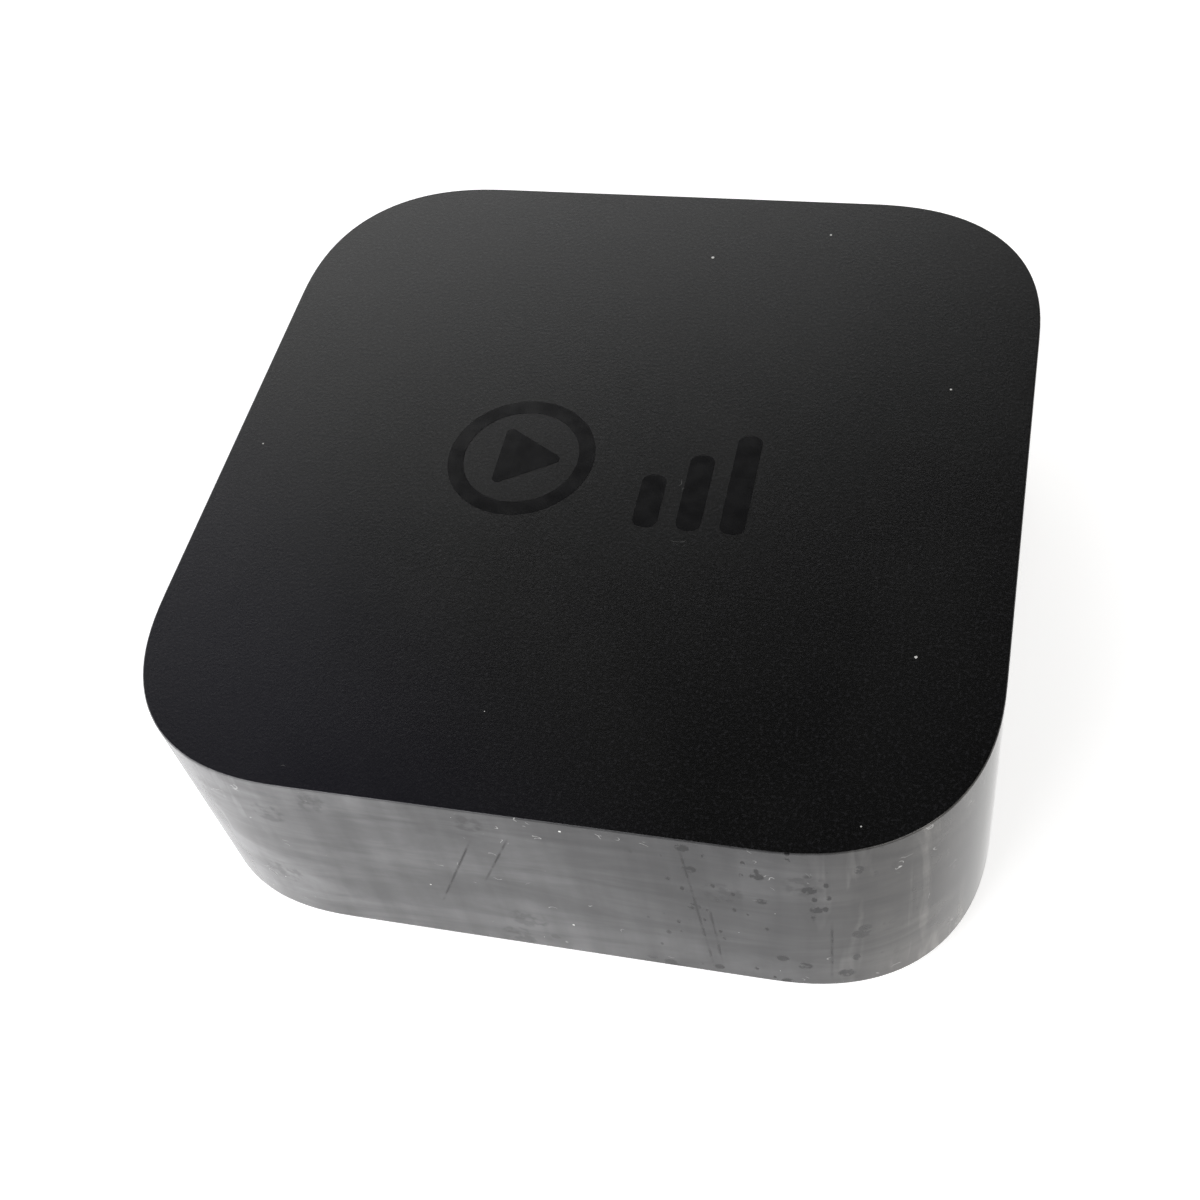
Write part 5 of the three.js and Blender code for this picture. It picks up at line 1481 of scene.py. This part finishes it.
class PLAYER_OT_base(bpy.types.Operator):
    """Builds the vented foot tray, its snap tabs and the rubber ring"""

    bl_idname = "player.base"
    bl_label = "Base"

    def execute(self, context):
        deliver(base_tray(), "cover_plastic", ["base_cover"])
        deliver(snap_tabs(), "cover_plastic")
        deliver(foot_ring(), "foot_rubber", ["foot_pad"])
        return {"FINISHED"}


class PLAYER_OT_sockets(bpy.types.Operator):
    """Builds the mains inlet, the video socket and the network jack"""

    bl_idname = "player.sockets"
    bl_label = "Sockets"

    def execute(self, context):
        deliver(inlet_case(), "cover_plastic", ["power_inlet"])
        for node in ("inlet_pin_1", "inlet_pin_2"):
            deliver(inlet_pin(node), "plated_shell", [node])
        deliver(video_shell(), "plated_shell", ["video_socket"])
        deliver(video_contacts(), "brass", finish="gold_plate")
        dress("video_tongue", "cover_plastic", 0.1)
        deliver(jack_shell(), "plated_shell", ["network_jack"])
        deliver(jack_insert(), "cover_plastic")
        deliver(jack_contacts(), "brass", ["network_contacts"], "gold_plate")
        return {"FINISHED"}


class PLAYER_OT_screws(bpy.types.Operator):
    """Builds the main screws, the fan's screws and the power supply's screws"""

    bl_idname = "player.screws"
    bl_label = "Screws"

    def execute(self, context):
        deliver(corner_screws("main_screws", MAIN_SCREWS, MAIN_SCREW), "steel", MAIN_SCREWS)
        deliver(corner_screws("fan_screws", FAN_SCREWS, SMALL_SCREW), "steel", FAN_SCREWS)
        deliver(supply_screws(), "steel", SUPPLY_SCREWS, "screw_steel")
        return {"FINISHED"}


class PLAYER_OT_fan(bpy.types.Operator):
    """Builds the impeller, magnet, shaft and bearing, and finishes the rest of the fan"""

    bl_idname = "player.fan"
    bl_label = "Fan"

    def execute(self, context):
        deliver(impeller(), "fan_plastic", ["fan_impeller"], body=ROTOR)
        magnet = chamfered_ring("magnet_ring", "fan_magnet", 8.45 * MM)
        deliver(magnet, "magnet", ["fan_magnet"], "bonded_magnet", ROTOR)
        deliver(shaft(), "steel", ["fan_shaft"], "screw_steel", ROTOR)
        bearing = chamfered_ring("bearing", "fan_bearing", SHAFT_BORE, 40)
        deliver(bearing, "brass", ["fan_bearing"], "bearing_brass")
        dress("fan_frame", "fan_plastic", 0.2)
        dress("fan_cover", "rolled_steel", 0.08)
        dress("fan_stator", "winding_copper", 0.2)
        dress("fan_flex", "flex_film", 0.03)
        dress("fan_socket", "insulator_sheet", 0.1)
        return {"FINISHED"}


class PLAYER_OT_boards(bpy.types.Operator):
    """Finishes the heat sink and the logic board, and adds the small parts on the boards"""

    bl_idname = "player.boards"
    bl_label = "Boards"

    def execute(self, context):
        dress("heat_sink", "cast_aluminium", 0.1)
        dress("thermal_pad", "soft_pad", 0.1)
        dress("logic_board", "logic_mask", 0.05, 1)
        dress("processor", "epoxy_chip", 0.06)
        dress("storage_chip", "epoxy_chip", 0.06)
        dress("board_shield", "plated_shell", 0.12)
        dress("wireless_module", "plated_shell", 0.12)
        dress("front_board", "logic_mask", 0.05, 1)
        dress("infrared_receiver", "tinted_lens", 0.1)
        dress("status_light", "clear_plastic", 0.1)
        for side in ("right", "left"):
            dress("antenna_" + side, "gold_plate", 0.03, 1)
            dress("antenna_lead_" + side, "cable_sleeve", 0)
        layout = ((12, 15), (44 * MM, 30 * MM), 0.55, 5, (0, -8 * MM, BOARD_HIGH.z))
        deliver(scatter(small_part("small_parts", 0.8, 0.72, 0.5), "epoxy_chip", *layout), "chip")
        deliver(scatter(small_part("part_ends", 1.5, 0.76, 0.44), "plated_shell", *layout), "plated_shell")
        deliver(light_rod(), "clear_plastic", ["light_pipe"])
        return {"FINISHED"}


class PLAYER_OT_supply(bpy.types.Operator):
    """Builds the power supply's cans, fuse, inductor and posts, and finishes its blocks"""

    bl_idname = "player.supply"
    bl_label = "Power supply"

    def execute(self, context):
        dress("supply_board", "supply_laminate", 0.05, 1)
        dress("supply_insulator", "insulator_sheet", 0)
        dress("transformer_core", "ground_ferrite", 0.25)
        dress("transformer_winding", "winding_tape", 0.3)
        dress("filter_choke", "winding_copper", 0.3)
        dress("x_capacitor", "film_box", 0.35)
        dress("heat_spreader", "cast_aluminium", 0.15)
        for node in ("bulk_capacitor_1", "bulk_capacitor_2", "output_capacitor_1", "output_capacitor_2"):
            deliver(can(node), "sleeve", [node])
        deliver(fuse(), "fuse_body", ["fuse"])
        deliver(wound_ring(), "copper", ["output_inductor"], "winding_copper")
        for node in ("power_post_1", "power_post_2"):
            deliver(power_post(node), "brass", [node], "bearing_brass")
        place = (0, (SUPPLY_LOW.y + SUPPLY_HIGH.y) / 2, SUPPLY_LOW.z)
        layout = ((11, 10), (52 * MM, 40 * MM), 0.35, 3, place)
        deliver(scatter(solder_dome(), "plated_shell", *layout), "plated_shell")
        return {"FINISHED"}


class PLAYER_PT_panel(bpy.types.Panel):
    """Buttons and sizes of the media player"""

    bl_label = "Media player"
    bl_idname = "PLAYER_PT_panel"
    bl_space_type = "VIEW_3D"
    bl_region_type = "UI"
    bl_category = "Media player"

    def draw(self, context):
        for operator in OPERATORS:
            self.layout.operator(operator.bl_idname)
        for name, group in SETTINGS.items():
            box = self.layout.box()
            box.label(text=group.__doc__)
            for key in group.__annotations__:
                box.prop(getattr(context.scene, name), key)


OPERATORS = (
    PLAYER_OT_stage,
    PLAYER_OT_housing,
    PLAYER_OT_base,
    PLAYER_OT_sockets,
    PLAYER_OT_screws,
    PLAYER_OT_fan,
    PLAYER_OT_boards,
    PLAYER_OT_supply,
)
CLASSES = (*SETTINGS.values(), *OPERATORS, PLAYER_PT_panel)


def register():
    for cls in CLASSES:
        bpy.utils.register_class(cls)
    for name, group in SETTINGS.items():
        setattr(bpy.types.Scene, name, PointerProperty(type=group))


def unregister():
    for name in SETTINGS:
        delattr(bpy.types.Scene, name)
    for cls in reversed(CLASSES):
        bpy.utils.unregister_class(cls)


def main():
    register()
    for operator in OPERATORS:
        section, action = operator.bl_idname.split(".")
        getattr(getattr(bpy.ops, section), action)()


if __name__ == "__main__":
    main()
